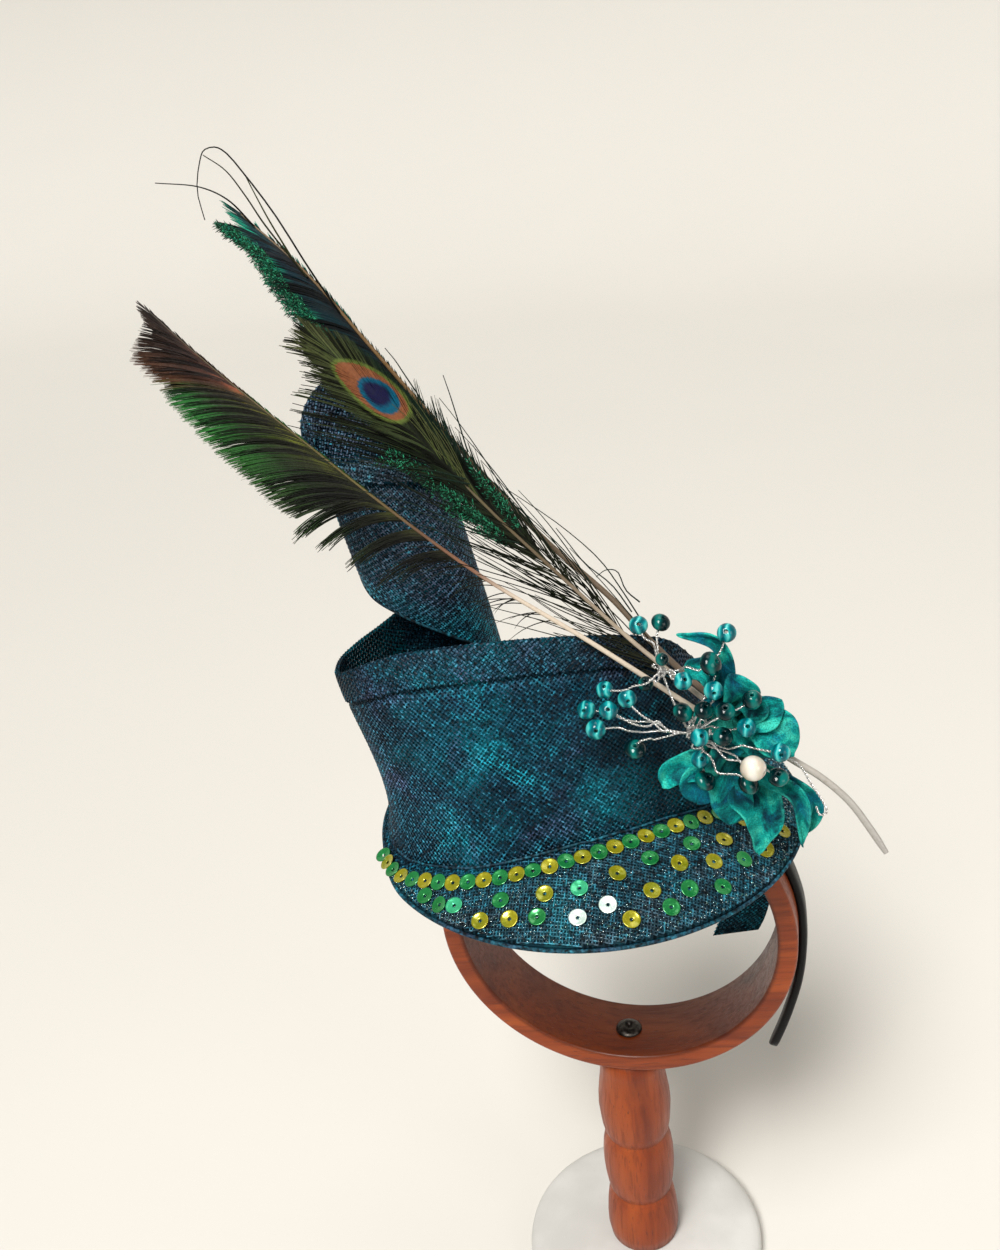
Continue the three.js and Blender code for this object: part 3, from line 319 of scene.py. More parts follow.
SHELL_COLOURS = (
    (0.1, 0.0, 0.075, 0.095), (0.5, 0.0, 0.165, 0.185), (0.8, 0.0, 0.27, 0.28), (0.99, 0.07, 0.46, 0.44))
GLASS_COLOURS = ((0.1, 0.0, 0.008, 0.010), (0.6, 0.0, 0.034, 0.034), (0.95, 0.0, 0.12, 0.105))
PEARL_COLOURS = ((0.1, 0.52, 0.44, 0.36), (0.5, 0.64, 0.56, 0.48), (0.9, 0.70, 0.63, 0.57))
SCREW_COLOURS = ((0.35, 0.018, 0.015, 0.013), (0.65, 0.075, 0.066, 0.058))
SILVER_COLOURS = ((0.3, 0.62, 0.61, 0.60), (0.7, 0.90, 0.89, 0.88))


# Curves and meshes

def spline(points, share):
    """Places at shares 0 to 1 of a smooth curve through the points."""
    points = np.asarray(points, float)
    padded = np.vstack([2 * points[0] - points[1], points, 2 * points[-1] - points[-2]])
    place = np.clip(np.atleast_1d(share), 0, 1) * (len(points) - 1)
    first = np.minimum(place.astype(int), len(points) - 2)
    w = (place - first)[:, None]
    p0, p1, p2, p3 = (padded[first + i] for i in range(4))

    def gap(a, b):
        return np.maximum(np.linalg.norm(a - b, axis=1), 1e-9)[:, None] ** 0.5

    d0, d1, d2 = gap(p0, p1), gap(p1, p2), gap(p2, p3)
    t1 = ((p1 - p0) / d0 - (p2 - p0) / (d0 + d1) + (p2 - p1) / d1) * d1
    t2 = ((p2 - p1) / d1 - (p3 - p1) / (d1 + d2) + (p3 - p2) / d2) * d1
    return p1 + t1 * w + (3 * (p2 - p1) - 2 * t1 - t2) * w ** 2 + (2 * (p1 - p2) + t1 + t2) * w ** 3


def unit(vectors):
    return vectors / np.maximum(np.linalg.norm(vectors, axis=-1, keepdims=True), 1e-12)


def smooth_step(x):
    x = np.clip(x, 0, 1)
    return x * x * (3 - 2 * x)


def lookup(value, table):
    """Second column of a table at values of its first."""
    return np.interp(value, *np.array(table, float).T)


def run_along(line):
    """Length from the start of a line to each of its points."""
    return np.concatenate([[0], np.cumsum(np.linalg.norm(np.diff(line, axis=0), axis=1))])


def chain(count):
    """Pairs that join each of count points to the next."""
    return np.stack([np.arange(count - 1), np.arange(1, count)], 1)


def new_mesh(name, verts, edges=(), faces=(), uv=None, **columns):
    """A mesh from places in millimetres, with a UV pair and named values for each of its points."""
    mesh = bpy.data.meshes.new(name)
    mesh.from_pydata((np.asarray(verts, float) * MM).tolist(), list(edges), list(faces))
    for key, values in columns.items():
        values = np.asarray(values, np.float32)
        kind, field = ("FLOAT", "value") if values.ndim == 1 else ("FLOAT_VECTOR", "vector")
        mesh.attributes.new(key, kind, "POINT").data.foreach_set(field, values.ravel())
    if uv is not None:
        corners = np.empty(len(mesh.loops), np.int32)
        mesh.loops.foreach_get("vertex_index", corners)
        layer = mesh.uv_layers.new(name="UVMap")
        layer.data.foreach_set("uv", np.asarray(uv, np.float32)[corners].ravel())
    return mesh


def show(name, data):
    """An object of its data, linked to the scene."""
    made = bpy.data.objects.new(name, data)
    SCENE.collection.objects.link(made)
    return made


def soften(mesh):
    mesh.polygons.foreach_set("use_smooth", np.ones(len(mesh.polygons), bool))


def piece(name, mesh, material, replaces=()):
    """A finished piece that rides on the stand and takes the given material."""
    made = show(name, mesh)
    if material is not None:
        mesh.materials.clear()
        mesh.materials.append(material)
    soften(mesh)
    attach(made, "root")
    if replaces:
        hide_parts(*replaces)
    return made


def grid_faces(rows, columns, wrap=False):
    """Quads over rows x columns points, laid row after row."""
    r, c = np.meshgrid(np.arange(rows - 1), np.arange(columns if wrap else columns - 1), indexing="ij")
    low, high, beside = r * columns, (r + 1) * columns, (c + 1) % columns
    return np.stack([low + c, low + beside, high + beside, high + c], -1).reshape(-1, 4).tolist()


def turned(name, profile, sides, centre=(0, 0, 0), axis="Z"):
    """A closed body turned round an axis from radii and heights; off the axis it is a ring."""
    verts, faces, rows = [], [], []
    angles = np.linspace(0, 2 * math.pi, sides, endpoint=False)
    for radius, height in profile:
        start = len(verts)
        if radius == 0:
            verts.append((0, 0, height))
            rows.append([start] * sides)
        else:
            circle = [radius * np.cos(angles), radius * np.sin(angles), np.full(sides, height)]
            verts.extend(np.stack(circle, 1))
            rows.append(list(range(start, start + sides)))
    if profile[0][0]:
        rows.append(rows[0])
    for low, high in zip(rows, rows[1:]):
        for i in range(sides):
            j = (i + 1) % sides
            corners = [low[i], low[j], high[j], high[i]]
            faces.append([v for k, v in enumerate(corners) if v not in corners[:k]])
    places = np.array(verts, float)
    if axis == "Y":
        places = np.stack([places[:, 0], -places[:, 2], places[:, 1]], 1)
    return new_mesh(name, places + np.array(centre), faces=faces)


def spindle(name, ring, low, high):
    """A closed shape of a ring of four points and one point on either side."""
    around = [(i, (i + 1) % 4) for i in range(4)]
    faces = [(i, j, 4) for i, j in around] + [(j, i, 5) for i, j in around]
    return new_mesh(name, (*ring, high, low), faces=faces)


def thicken(made, thickness, levels=0):
    """Gives a sheet its wall, and rounds it by subdivision."""
    wall = made.modifiers.new("wall", "SOLIDIFY")
    wall.thickness = thickness * MM
    wall.offset = 0
    if levels:
        rounding = made.modifiers.new("rounding", "SUBSURF")
        rounding.levels = rounding.render_levels = levels


# Node trees

def feed(tree, socket, value):
    """Links a socket or sets its value; a colour of three gets its alpha."""
    if isinstance(value, bpy.types.NodeSocket):
        tree.links.new(value, socket)
    elif socket.type == "RGBA":
        socket.default_value = (*value, 1)[:4]
    else:
        socket.default_value = value


def add(tree, kind, sockets=None, **settings):
    """A node with its settings, and each named or numbered input set or linked."""
    made = tree.nodes.new(kind)
    for key, value in settings.items():
        setattr(made, key, value)
    for key, value in (sockets or {}).items():
        feed(tree, made.inputs[key], value)
    return made


def out(tree, kind, sockets=None, **settings):
    """The first output of a new node."""
    return add(tree, kind, sockets, **settings).outputs[0]


def math_node(tree, operation, a, b=0.0, clamp=False):
    return out(tree, "ShaderNodeMath", {0: a, 1: b}, operation=operation, use_clamp=clamp)


def times(tree, a, b, clamp=False):
    return math_node(tree, "MULTIPLY", a, b, clamp)


def new_tree(name, kind, inputs, outputs):
    """An empty node group with named inputs and outputs, and its two end nodes."""
    tree = bpy.data.node_groups.new(name, kind)
    for label, socket, value in inputs:
        made = tree.interface.new_socket(label, in_out="INPUT", socket_type="NodeSocket" + socket)
        if value is not None:
            made.default_value = value
    for label, socket in outputs:
        tree.interface.new_socket(label, in_out="OUTPUT", socket_type="NodeSocket" + socket)
    return tree, tree.nodes.new("NodeGroupInput").outputs, tree.nodes.new("NodeGroupOutput").inputs


def geometry_tree(name, *inputs):
    """A geometry group that takes a base mesh, its own inputs and a material."""
    inputs = [("Geometry", "Geometry", None), *inputs, ("Material", "Material", None)]
    return new_tree(name, "GeometryNodeTree", inputs, [("Geometry", "Geometry")])


def finish_tree(tree, geometry, material, outlet):
    """Ends a geometry tree: smooth, plain mesh, material."""
    soft = out(tree, "GeometryNodeSetShadeSmooth", {"Geometry": geometry})
    real = out(tree, "GeometryNodeRealizeInstances", {"Geometry": soft})
    tree.links.new(out(tree, "GeometryNodeSetMaterial", {"Geometry": real, "Material": material}), outlet)
    return tree


def named(tree, name, data_type="FLOAT"):
    found = add(tree, "GeometryNodeInputNamedAttribute", {"Name": name}, data_type=data_type)
    return found.outputs["Attribute"]


def strand_tree():
    """Sweeps a lens-shaped strand along every chain of edges; lie is its flat side, half its half width."""
    tree, inlet, outlet = geometry_tree("strands", ("Flatness", "Float", 0.4), ("Sides", "Int", 4))
    line = out(tree, "GeometryNodeMeshToCurve", {"Mesh": inlet["Geometry"]})
    lie = named(tree, "lie", "FLOAT_VECTOR")
    laid = out(tree, "GeometryNodeSetCurveNormal", {"Curve": line, "Normal": lie}, mode="FREE")
    circle = out(tree, "GeometryNodeCurvePrimitiveCircle", {"Resolution": inlet["Sides"], "Radius": MM})
    squeeze = out(tree, "ShaderNodeCombineXYZ", {"X": inlet["Flatness"], "Y": 1.0, "Z": 1.0})
    lens = out(tree, "GeometryNodeTransform", {"Geometry": circle, "Scale": squeeze})
    swept = out(tree, "GeometryNodeCurveToMesh",
                {"Curve": laid, "Profile Curve": lens, "Scale": named(tree, "half"), "Fill Caps": True})
    return finish_tree(tree, swept, inlet["Material"], outlet["Geometry"])


def scatter_tree():
    """Sets a copy of a shape on every point, its Z to facing, turned by spin and sized by size."""
    tree, inlet, outlet = geometry_tree("scatter", ("Shape", "Object", None))
    points = out(tree, "GeometryNodeMeshToPoints", {"Mesh": inlet["Geometry"]})
    shape = add(tree, "GeometryNodeObjectInfo", {"Object": inlet["Shape"]}).outputs["Geometry"]
    facing, size = (named(tree, key, "FLOAT_VECTOR") for key in ("facing", "size"))
    turn = out(tree, "FunctionNodeAlignRotationToVector", {"Vector": facing}, axis="Z")
    spin = out(tree, "FunctionNodeAxisAngleToRotation", {"Axis": (0, 0, 1), "Angle": named(tree, "spin")})
    both = {"Rotation": turn, "Rotate By": spin}
    spun = out(tree, "FunctionNodeRotateRotation", both, rotation_space="LOCAL")
    copies = out(tree, "GeometryNodeInstanceOnPoints",
                 {"Points": points, "Instance": shape, "Rotation": spun, "Scale": size})
    return finish_tree(tree, copies, inlet["Material"], outlet["Geometry"])


def twist_tree():
    """Twists two wires round every chain of edges."""
    tree, inlet, outlet = geometry_tree("twisted_wire", ("Wire radius", "Float", 0.3), ("Sides", "Int", 6),
                                        ("Turns per metre", "Float", 400.0), ("Step", "Float", 0.6))
    line = out(tree, "GeometryNodeMeshToCurve", {"Mesh": inlet["Geometry"]})
    step = times(tree, inlet["Step"], MM)
    fine = out(tree, "GeometryNodeResampleCurve", {"Curve": line, "Length": step}, mode="LENGTH")
    turns = times(tree, inlet["Turns per metre"], 2 * math.pi)
    length = add(tree, "GeometryNodeSplineParameter").outputs["Length"]
    tilted = out(tree, "GeometryNodeSetCurveTilt", {"Curve": fine, "Tilt": times(tree, length, turns)})
    radius = times(tree, inlet["Wire radius"], MM)
    circle = out(tree, "GeometryNodeCurvePrimitiveCircle", {"Resolution": inlet["Sides"], "Radius": radius})
    pair = add(tree, "GeometryNodeJoinGeometry")
    for side in (1.0, -1.0):
        shift = out(tree, "ShaderNodeCombineXYZ", {"X": times(tree, radius, side)})
        moved = out(tree, "GeometryNodeTransform", {"Geometry": circle, "Translation": shift})
        tree.links.new(moved, pair.inputs[0])
    swept = out(tree, "GeometryNodeCurveToMesh",
                {"Curve": tilted, "Profile Curve": pair.outputs[0], "Fill Caps": True})
    return finish_tree(tree, swept, inlet["Material"], outlet["Geometry"])


def grow(name, mesh, tree, values):
    """The plain mesh that a node tree makes from a base mesh."""
    base = show(name + "_base", mesh)
    modifier = base.modifiers.new(tree.name, "NODES")
    modifier.node_group = tree
    for item in tree.interface.items_tree:
        if item.item_type == "SOCKET" and item.in_out == "INPUT" and item.name in values:
            modifier[item.identifier] = values[item.name]
    depsgraph = bpy.context.evaluated_depsgraph_get()
    made = bpy.data.meshes.new_from_object(
        base.evaluated_get(depsgraph), preserve_all_data_layers=True, depsgraph=depsgraph)
    made.name = name
    bpy.data.objects.remove(base)
    return made


STRANDS = strand_tree()
SCATTER = scatter_tree()
TWIST = twist_tree()


def strand_piece(name, base, material, replaces=(), sides=3, flatness=STRAND_FLATNESS):
    """A piece of strands swept along the edges of a base mesh."""
    made = grow(name, base, STRANDS, {"Flatness": flatness, "Sides": sides, "Material": material})
    return piece(name, made, None, replaces)


def scatter(name, places, facing, size, tint, spin, shape, material):
    """A piece of copies of a shape, each with its own place, facing, size, tint and spin."""
    size = np.asarray(size, float)
    size = size if size.ndim == 2 else np.repeat(size[:, None], 3, 1)
    points = new_mesh(name, places, facing=facing, size=size, tint=tint, spin=spin)
    pattern = bpy.data.objects.new(shape.name, shape)
    made = grow(name, points, SCATTER, {"Shape": pattern, "Material": material})
    bpy.data.objects.remove(pattern)
    return piece(name, made, None)


# Shader groups

def ramp(tree, fac, stops, interpolation="LINEAR"):
    """A colour ramp from rows of place, red, green and blue."""
    made = add(tree, "ShaderNodeValToRGB", {"Fac": fac})
    made.color_ramp.interpolation = interpolation
    cells = made.color_ramp.elements
    for place, *_ in stops[2:]:
        cells.new(place)
    for cell, (place, *_) in zip(cells, stops):
        cell.position = place
    for cell, (_, *colour) in zip(sorted(cells, key=lambda c: c.position), sorted(stops)):
        cell.color = (*colour, 1)
    return made.outputs["Color"]


def mix(tree, fac, a, b, blend="MIX"):
    return add(tree, "ShaderNodeMix", {0: fac, 6: a, 7: b}, data_type="RGBA", blend_type=blend).outputs[2]


def spread(tree, value, low, high, to_low=0.0, to_high=1.0):
    limits = {"From Min": low, "From Max": high, "To Min": to_low, "To Max": to_high}
    return out(tree, "ShaderNodeMapRange", {"Value": value, **limits}, interpolation_type="SMOOTHSTEP")


def noise(tree, vector, scale, detail=3.0, distortion=0.0, roughness=0.5):
    sizes = {"Scale": scale, "Detail": detail, "Distortion": distortion, "Roughness": roughness}
    return add(tree, "ShaderNodeTexNoise", {"Vector": vector, **sizes}).outputs["Fac"]


def vector_node(tree, operation, a, b):
    return out(tree, "ShaderNodeVectorMath", {0: a, 1: b}, operation=operation)


def scaled(tree, colour, by):
    return out(tree, "ShaderNodeVectorMath", {0: colour, "Scale": by}, operation="SCALE")


def value_of(tree, name):
    return add(tree, "ShaderNodeAttribute", attribute_name=name).outputs["Fac"]


def relief(tree, height, distance_mm, strength=1.0):
    return out(tree, "ShaderNodeBump", {"Height": height, "Distance": distance_mm * MM, "Strength": strength})


def dye_group():
    """Hand-dyed patches: three shades that run into each other, and a pale haze over some of them."""
    dyes = [(label, "Color", (0, 0, 0, 1)) for label in ("Deep", "Middle", "Bright", "Haze")]
    tree, inlet, outlet = new_tree(
        "dye_patches", "ShaderNodeTree",
        [("Vector", "Vector", None), ("Patches per metre", "Float", 24.0), *dyes,
         ("Haze share", "Float", 0.5)],
        [("Color", "Color"), ("Bright mask", "Float")])
    wide = noise(tree, inlet["Vector"], inlet["Patches per metre"], 7.0, 1.1, 0.68)
    moved = vector_node(tree, "ADD", inlet["Vector"], (0.37, 0.11, 0.23))
    other = noise(tree, moved, inlet["Patches per metre"], 5.0, 0.8, 0.6)
    bright = spread(tree, wide, 0.5, 0.68)
    base = mix(tree, spread(tree, wide, 0.34, 0.52), inlet["Deep"], inlet["Middle"])
    lit = mix(tree, bright, base, inlet["Bright"])
    hazy = times(tree, spread(tree, other, 0.48, 0.66), inlet["Haze share"])
    tree.links.new(mix(tree, hazy, lit, inlet["Haze"]), outlet["Color"])
    tree.links.new(bright, outlet["Bright mask"])
    return tree


def wood_group():
    """Grain that runs along X: broad growth bands, fine streaks and short pores."""
    tree, inlet, outlet = new_tree("wood_grain", "ShaderNodeTree", [("Vector", "Vector", None)],
                                   [("Band", "Float"), ("Streak", "Float"), ("Pore", "Float")])

    def stretched(along, across):
        return vector_node(tree, "MULTIPLY", inlet["Vector"], (along, across, across))

    tree.links.new(noise(tree, stretched(7, 60), 1.0, 3.0, 0.8), outlet["Band"])
    tree.links.new(noise(tree, stretched(26, 520), 1.0, 4.0, 0.3, 0.6), outlet["Streak"])
    pores = noise(tree, stretched(110, 1500), 1.0, 2.0)
    tree.links.new(spread(tree, pores, 0.62, 0.72), outlet["Pore"])
    return tree


DYE = dye_group()
WOOD = wood_group()


def new_material(name, **constants):
    """A material with its shader's constant values, its tree and its Object coordinates."""
    made = bpy.data.materials.new(name)
    made.use_nodes = True
    tree = made.node_tree
    for key, value in constants.items():
        feed(tree, tree.nodes["Principled BSDF"].inputs[key.replace("_", " ")], value)
    return made, tree, add(tree, "ShaderNodeTexCoord").outputs["Object"]


def dress(made, colour, roughness=None, normal=None):
    """Links a material's colour, roughness and relief to its shader."""
    tree = made.node_tree
    for key, value in (("Base Color", colour), ("Roughness", roughness), ("Normal", normal)):
        if value is not None:
            tree.links.new(value, tree.nodes["Principled BSDF"].inputs[key])
    return made


# Materials of the stand and headband

def wood_material(name, turn, inside_painted_shade=1.0):
    """Stained wood; the inside of the ring is darkened by inside_painted_shade, a painted shade for the hat's
    shadow there.
    """
    made, tree, coords = new_material(name, Coat_Weight=0.08, Coat_Roughness=0.25, Specular_IOR_Level=0.3)
    laid = out(tree, "ShaderNodeMapping", {"Vector": coords, "Rotation": turn})
    grain = add(tree, "ShaderNodeGroup", {"Vector": laid}, node_tree=WOOD).outputs
    streaks = spread(tree, grain["Streak"], 0.45, 0.7, 0.0, 0.5)
    streaked = mix(tree, streaks, ramp(tree, grain["Band"], WOOD_BANDS), (0.095, 0.018, 0.007))
    stains = spread(tree, noise(tree, coords, 28, 3.0), 0.5, 0.72, 0.0, 0.35)
    stained = mix(tree, stains, streaked, (0.29, 0.062, 0.012))
    polished = mix(tree, times(tree, grain["Pore"], 0.6), stained, (0.07, 0.013, 0.005))
    from_axis = vector_node(tree, "ADD", coords, (0, 0, -RING_CENTRE[2] * MM))
    flat = vector_node(tree, "MULTIPLY", from_axis, (1, 0, 1))
    radius = add(tree, "ShaderNodeVectorMath", {0: flat}, operation="LENGTH").outputs["Value"]
    inner = (RING_RADIUS - RING_WALL) * MM
    # Painted shade: the inner face of the ring is darkened by inside_painted_shade, standing in for the hat's
    # shadow.
    shade = spread(tree, radius, inner + 0.0003, inner + 0.0022, inside_painted_shade, 1.0)
    rough = math_node(tree, "SUBTRACT", times(tree, grain["Streak"], 0.4), grain["Pore"])
    return dress(made, scaled(tree, polished, shade), spread(tree, grain["Streak"], 0.3, 0.7, 0.34, 0.52),
                 relief(tree, rough, 0.12, 0.6))


def foot_material():
    made, tree, coords = new_material("pale_painted_foot", Coat_Weight=0.1)
    speckle = noise(tree, coords, 900, 2.0)
    cloudy = noise(tree, coords, 30, 4.0)
    pale = mix(tree, spread(tree, cloudy, 0.35, 0.7), (0.49, 0.485, 0.465), (0.58, 0.575, 0.555))
    colour = mix(tree, spread(tree, speckle, 0.62, 0.75, 0, 0.25), pale, (0.42, 0.42, 0.41))
    return dress(made, colour, spread(tree, cloudy, 0.3, 0.7, 0.42, 0.58), relief(tree, speckle, 0.08, 0.4))


def metal_material(name, metallic, scale, detail, stops, rough, bump_mm=0.0):
    """Dulled metal: one noise gives its colour, roughness and relief."""
    made, tree, coords = new_material(name, Metallic=metallic)
    dull = noise(tree, coords, scale, detail)
    height = relief(tree, dull, bump_mm, 0.5) if bump_mm else None
    return dress(made, ramp(tree, dull, stops), spread(tree, dull, 0.3, 0.7, *rough), height)


def satin_material():
    made, tree, coords = new_material("black_satin", Specular_IOR_Level=0.12)
    flat = out(tree, "ShaderNodeUVMap")
    threads = noise(tree, out(tree, "ShaderNodeMapping", {"Vector": flat, "Scale": (900, 5200, 1)}), 1.0, 2.0)
    creases = noise(tree, coords, 70, 3.0, 0.5)
    height = math_node(tree, "ADD", times(tree, threads, 0.35), creases)
    return dress(made, mix(tree, creases, (0.003, 0.003, 0.0035), (0.008, 0.008, 0.009)),
                 spread(tree, threads, 0.3, 0.7, 0.30, 0.48), relief(tree, height, 0.25, 0.35))


# Materials of the cloth

def dyed_patches(tree, coords, dyes, patches, haze):
    values = {"Vector": coords, "Patches per metre": patches, "Haze share": haze, **dyes}
    return add(tree, "ShaderNodeGroup", values, node_tree=DYE).outputs


def strand_material(name, dyes, haze, patches, roughness, sparkle, right_dye_and_shade=1.0, slate_and_shade=0.0):
    """Cloth strands dyed in patches, each its own shade, with glints on some fibres.

    The cloth is darker to the right by right_dye_and_shade, partly a darker dye and partly painted shade from
    the flowers.
    Where slate is given, the curl turns towards the SLATE colour by that share, and the inside of the loop
    and the left end are darkened by that share as painted shade. The glints are painted highlights, set by
    sparkle where the dye is bright.
    """
    made, tree, coords = new_material(name, Specular_IOR_Level=0.22)
    dyed = dyed_patches(tree, coords, dyes, patches, haze)
    fibre = noise(tree, coords, 620, 2.0)
    place = add(tree, "ShaderNodeSeparateXYZ", {0: coords}).outputs
    x, y, z = (place[axis] for axis in "XYZ")
    # Painted shade: masks for the inside of the loop and the left end of the swathe, which are darkened as if
    # in shade.
    loop = times(tree, spread(tree, y, -0.03, 0.0), spread(tree, x, -0.045, -0.065))
    loop = times(tree, loop, spread(tree, z, 0.41, 0.38, 0.0, slate_and_shade))
    left_end = times(tree, spread(tree, x, -0.078, -0.100, 0.0, slate_and_shade), spread(tree, z, 0.40, 0.38))
    shade = spread(tree, value_of(tree, "tint"), 0, 1, 0.68, 1.38)
    # Tint and fibre noise give each strand its tone; then the cloth darkens to the right, partly darker dye
    # and partly painted shade, and in the loop and at the left end as painted shade.
    for share in (spread(tree, fibre, 0.3, 0.72, 0.1, 2.8), spread(tree, x, -0.02, 0.03, 1.0, right_dye_and_shade),
                  spread(tree, loop, 0.0, 1.0, 1.0, 0.12), spread(tree, left_end, 0.0, 1.0, 1.0, 0.25)):
        shade = times(tree, shade, share)
    colour = mix(tree, spread(tree, z, 0.365, 0.415, 0.0, slate_and_shade), dyed["Color"], SLATE)
    # Painted glint: where the dye is bright, some fibres are painted bright cyan as highlights, scaled by
    # sparkle.
    bright = spread(tree, dyed["Bright mask"], 0, 1, 0.25 * sparkle, sparkle)
    painted_glint = times(tree, spread(tree, fibre, 0.56, 0.70), times(tree, bright, shade, True))
    return dress(made, mix(tree, painted_glint, scaled(tree, colour, shade), PAINTED_GLINT),
                 spread(tree, fibre, 0.3, 0.75, roughness + 0.12, roughness - 0.15),
                 relief(tree, fibre, 0.12, 0.5))


def sheet_material(name, dyes, patches):
    """Under layer of the cloth, its own weave lying crossways in relief; its dye is darkened as painted
    shade.
    """
    made, tree, coords = new_material(name, Specular_IOR_Level=0.04)
    flat = out(tree, "ShaderNodeUVMap")
    lines = []
    for turn in (math.radians(45), math.radians(-45)):
        laid = out(tree, "ShaderNodeMapping", {"Vector": flat, "Rotation": (0, 0, turn)})
        waves = {"Vector": laid, "Scale": 160.0, "Distortion": 0.4}
        lines.append(add(tree, "ShaderNodeTexWave", waves, wave_profile="SIN").outputs["Fac"])
    weave_height = math_node(tree, "MAXIMUM", *lines)
    # Painted shade: the dye is scaled down to 0.12 to 0.45, darkest in the grooves of the weave, so the gaps
    # between the strands read dark.
    colour = scaled(tree, dyed_patches(tree, coords, dyes, patches, 0.3)["Color"],
                    spread(tree, weave_height, 0.4, 1.0, 0.12, 0.45))
    return dress(made, colour, spread(tree, weave_height, 0.2, 1.0, 0.85, 0.6),
                 relief(tree, weave_height, 0.3, 0.7))


def sequin_material():
    made, tree, coords = new_material("sequin_plastic", Coat_Weight=0.5, Coat_Roughness=0.06, Metallic=0.45)
    colour = ramp(tree, value_of(tree, "tint"), SEQUIN_COLOURS, "CONSTANT")
    shift = spread(tree, noise(tree, coords, 160, 2.0), 0.4, 0.7, 0, 0.35)
    return dress(made, mix(tree, shift, colour, (0.02, 0.20, 0.03), "OVERLAY"),
                 spread(tree, noise(tree, coords, 700, 2.0), 0.3, 0.7, 0.16, 0.32),
                 relief(tree, noise(tree, coords, 380, 2.0), 0.1, 0.25))


def tinted_material(name, stops, grain, rough, **constants):
    """Copies that each take their colour from their tint."""
    made, tree, coords = new_material(name, **constants)
    return dress(made, ramp(tree, value_of(tree, "tint"), stops),
                 spread(tree, noise(tree, coords, grain), 0.3, 0.7, *rough))


# Camera, floor and light

def look_from(place, right, up):
    right, up = Vector(right).normalized(), Vector(up).normalized()
    turn = Matrix((right, up, right.cross(up))).transposed()
    return Matrix.Translation(Vector(place) * MM) @ turn.to_4x4()


camera = show("camera", bpy.data.cameras.new("camera"))
camera.data.sensor_width = SENSOR
camera.data.lens = SENSOR * FOCAL_PIXELS / max(PHOTO)
camera.matrix_world = look_from(CAMERA_PLACE, CAMERA_RIGHT, CAMERA_UP)
camera.data.clip_start, camera.data.clip_end = 0.01, 50
SCENE.camera = camera
SCENE.view_settings.view_transform = "Standard"

# The paper floor, in metres: flat to the back, where it bends up into a wall
FLOOR_HALF_WIDTH = 30.0
FLOOR_BACK = 2.2
FLOOR_BEND = 1.2
WALL_TOP = 6.0
bend = [(FLOOR_BACK + FLOOR_BEND * math.sin(a), FLOOR_BEND - FLOOR_BEND * math.cos(a))
        for a in np.linspace(0.1, math.pi / 2, 14)]
floor_profile = [(-FLOOR_HALF_WIDTH, 0), (FLOOR_BACK, 0), *bend, (FLOOR_BACK + FLOOR_BEND, WALL_TOP)]
floor_points = [(x / MM, y / MM, z / MM) for y, z in floor_profile
                for x in (-FLOOR_HALF_WIDTH, FLOOR_HALF_WIDTH)]
floor = show("floor", new_mesh("floor", floor_points, faces=grid_faces(len(floor_profile), 2)))
soften(floor.data)
paper, paper_tree, paper_coords = new_material("cream_paper", Roughness=0.9, Specular_IOR_Level=0.1)
cloudy_paper = noise(paper_tree, paper_coords, 3, 2.0)
floor.data.materials.append(
    dress(paper, mix(paper_tree, cloudy_paper, (0.62, 0.602, 0.565), (0.635, 0.617, 0.58))))

world = bpy.data.worlds.new("studio")
world.use_nodes = True
sky = world.node_tree
fill = sky.nodes["Background"]
fill.inputs["Color"].default_value = (1.0, 0.975, 0.93, 1)
fill.inputs["Strength"].default_value = 0.26
paper_round = out(sky, "ShaderNodeBackground", {"Color": (0.76, 0.735, 0.68)})
by_camera = add(sky, "ShaderNodeLightPath").outputs["Is Camera Ray"]
seen = out(sky, "ShaderNodeMixShader", {0: by_camera, 1: fill.outputs[0], 2: paper_round})
sky.links.new(seen, sky.nodes["World Output"].inputs["Surface"])
SCENE.world = world


def aim(place, target):
    return (Vector(target) - Vector(place)).to_track_quat("-Z", "Y").to_euler()


daylight = show("daylight", bpy.data.lights.new("daylight", "SUN"))
daylight.data.energy, daylight.data.angle, daylight.data.color = 3.1, math.radians(22), (1.0, 0.98, 0.95)
daylight.rotation_euler = aim((-0.2, -0.85, 1.3), (0, 0, 0))
STUDIO_LIGHTS = (
    ("key", (-0.15, -1.0, 1.2), (-0.02, -0.02, 0.36), 0.3, 7),
    ("side", (0.9, -0.6, 0.7), (0, 0, 0.33), 0.5, 2.5),
    ("top", (0.1, 0.2, 1.5), (0, 0, 0.36), 0.6, 3),
)
for name, place, target, size, power in STUDIO_LIGHTS:
    light = show(name, bpy.data.lights.new(name, "AREA"))
    light.data.size, light.data.energy = size, power
    light.data.color = (1.0, 0.965, 0.92)
    light.location = place
    light.rotation_euler = aim(place, target)


# Stand

def rounded_ring_profile():
    """Section of the ring: a rectangle with rounded corners, radius and depth."""
    inner = RING_RADIUS - RING_WALL
    corners = ((RING_RADIUS, 1, 0), (inner, 1, 90), (inner, -1, 180), (RING_RADIUS, -1, 270))
    section = []
    for radius, side, start in corners:
        across = radius - RING_ROUNDING * np.sign(radius - RING_RADIUS + RING_WALL / 2)
        depth = side * (RING_HALF_DEPTH - RING_ROUNDING)
        for degrees in (0, 22.5, 45, 67.5, 90):
            a = math.radians(start + degrees)
            section.append((across + RING_ROUNDING * math.cos(a), depth + RING_ROUNDING * math.sin(a)))
    return section


post_wood = wood_material("post_wood", (0, math.radians(90), 0))
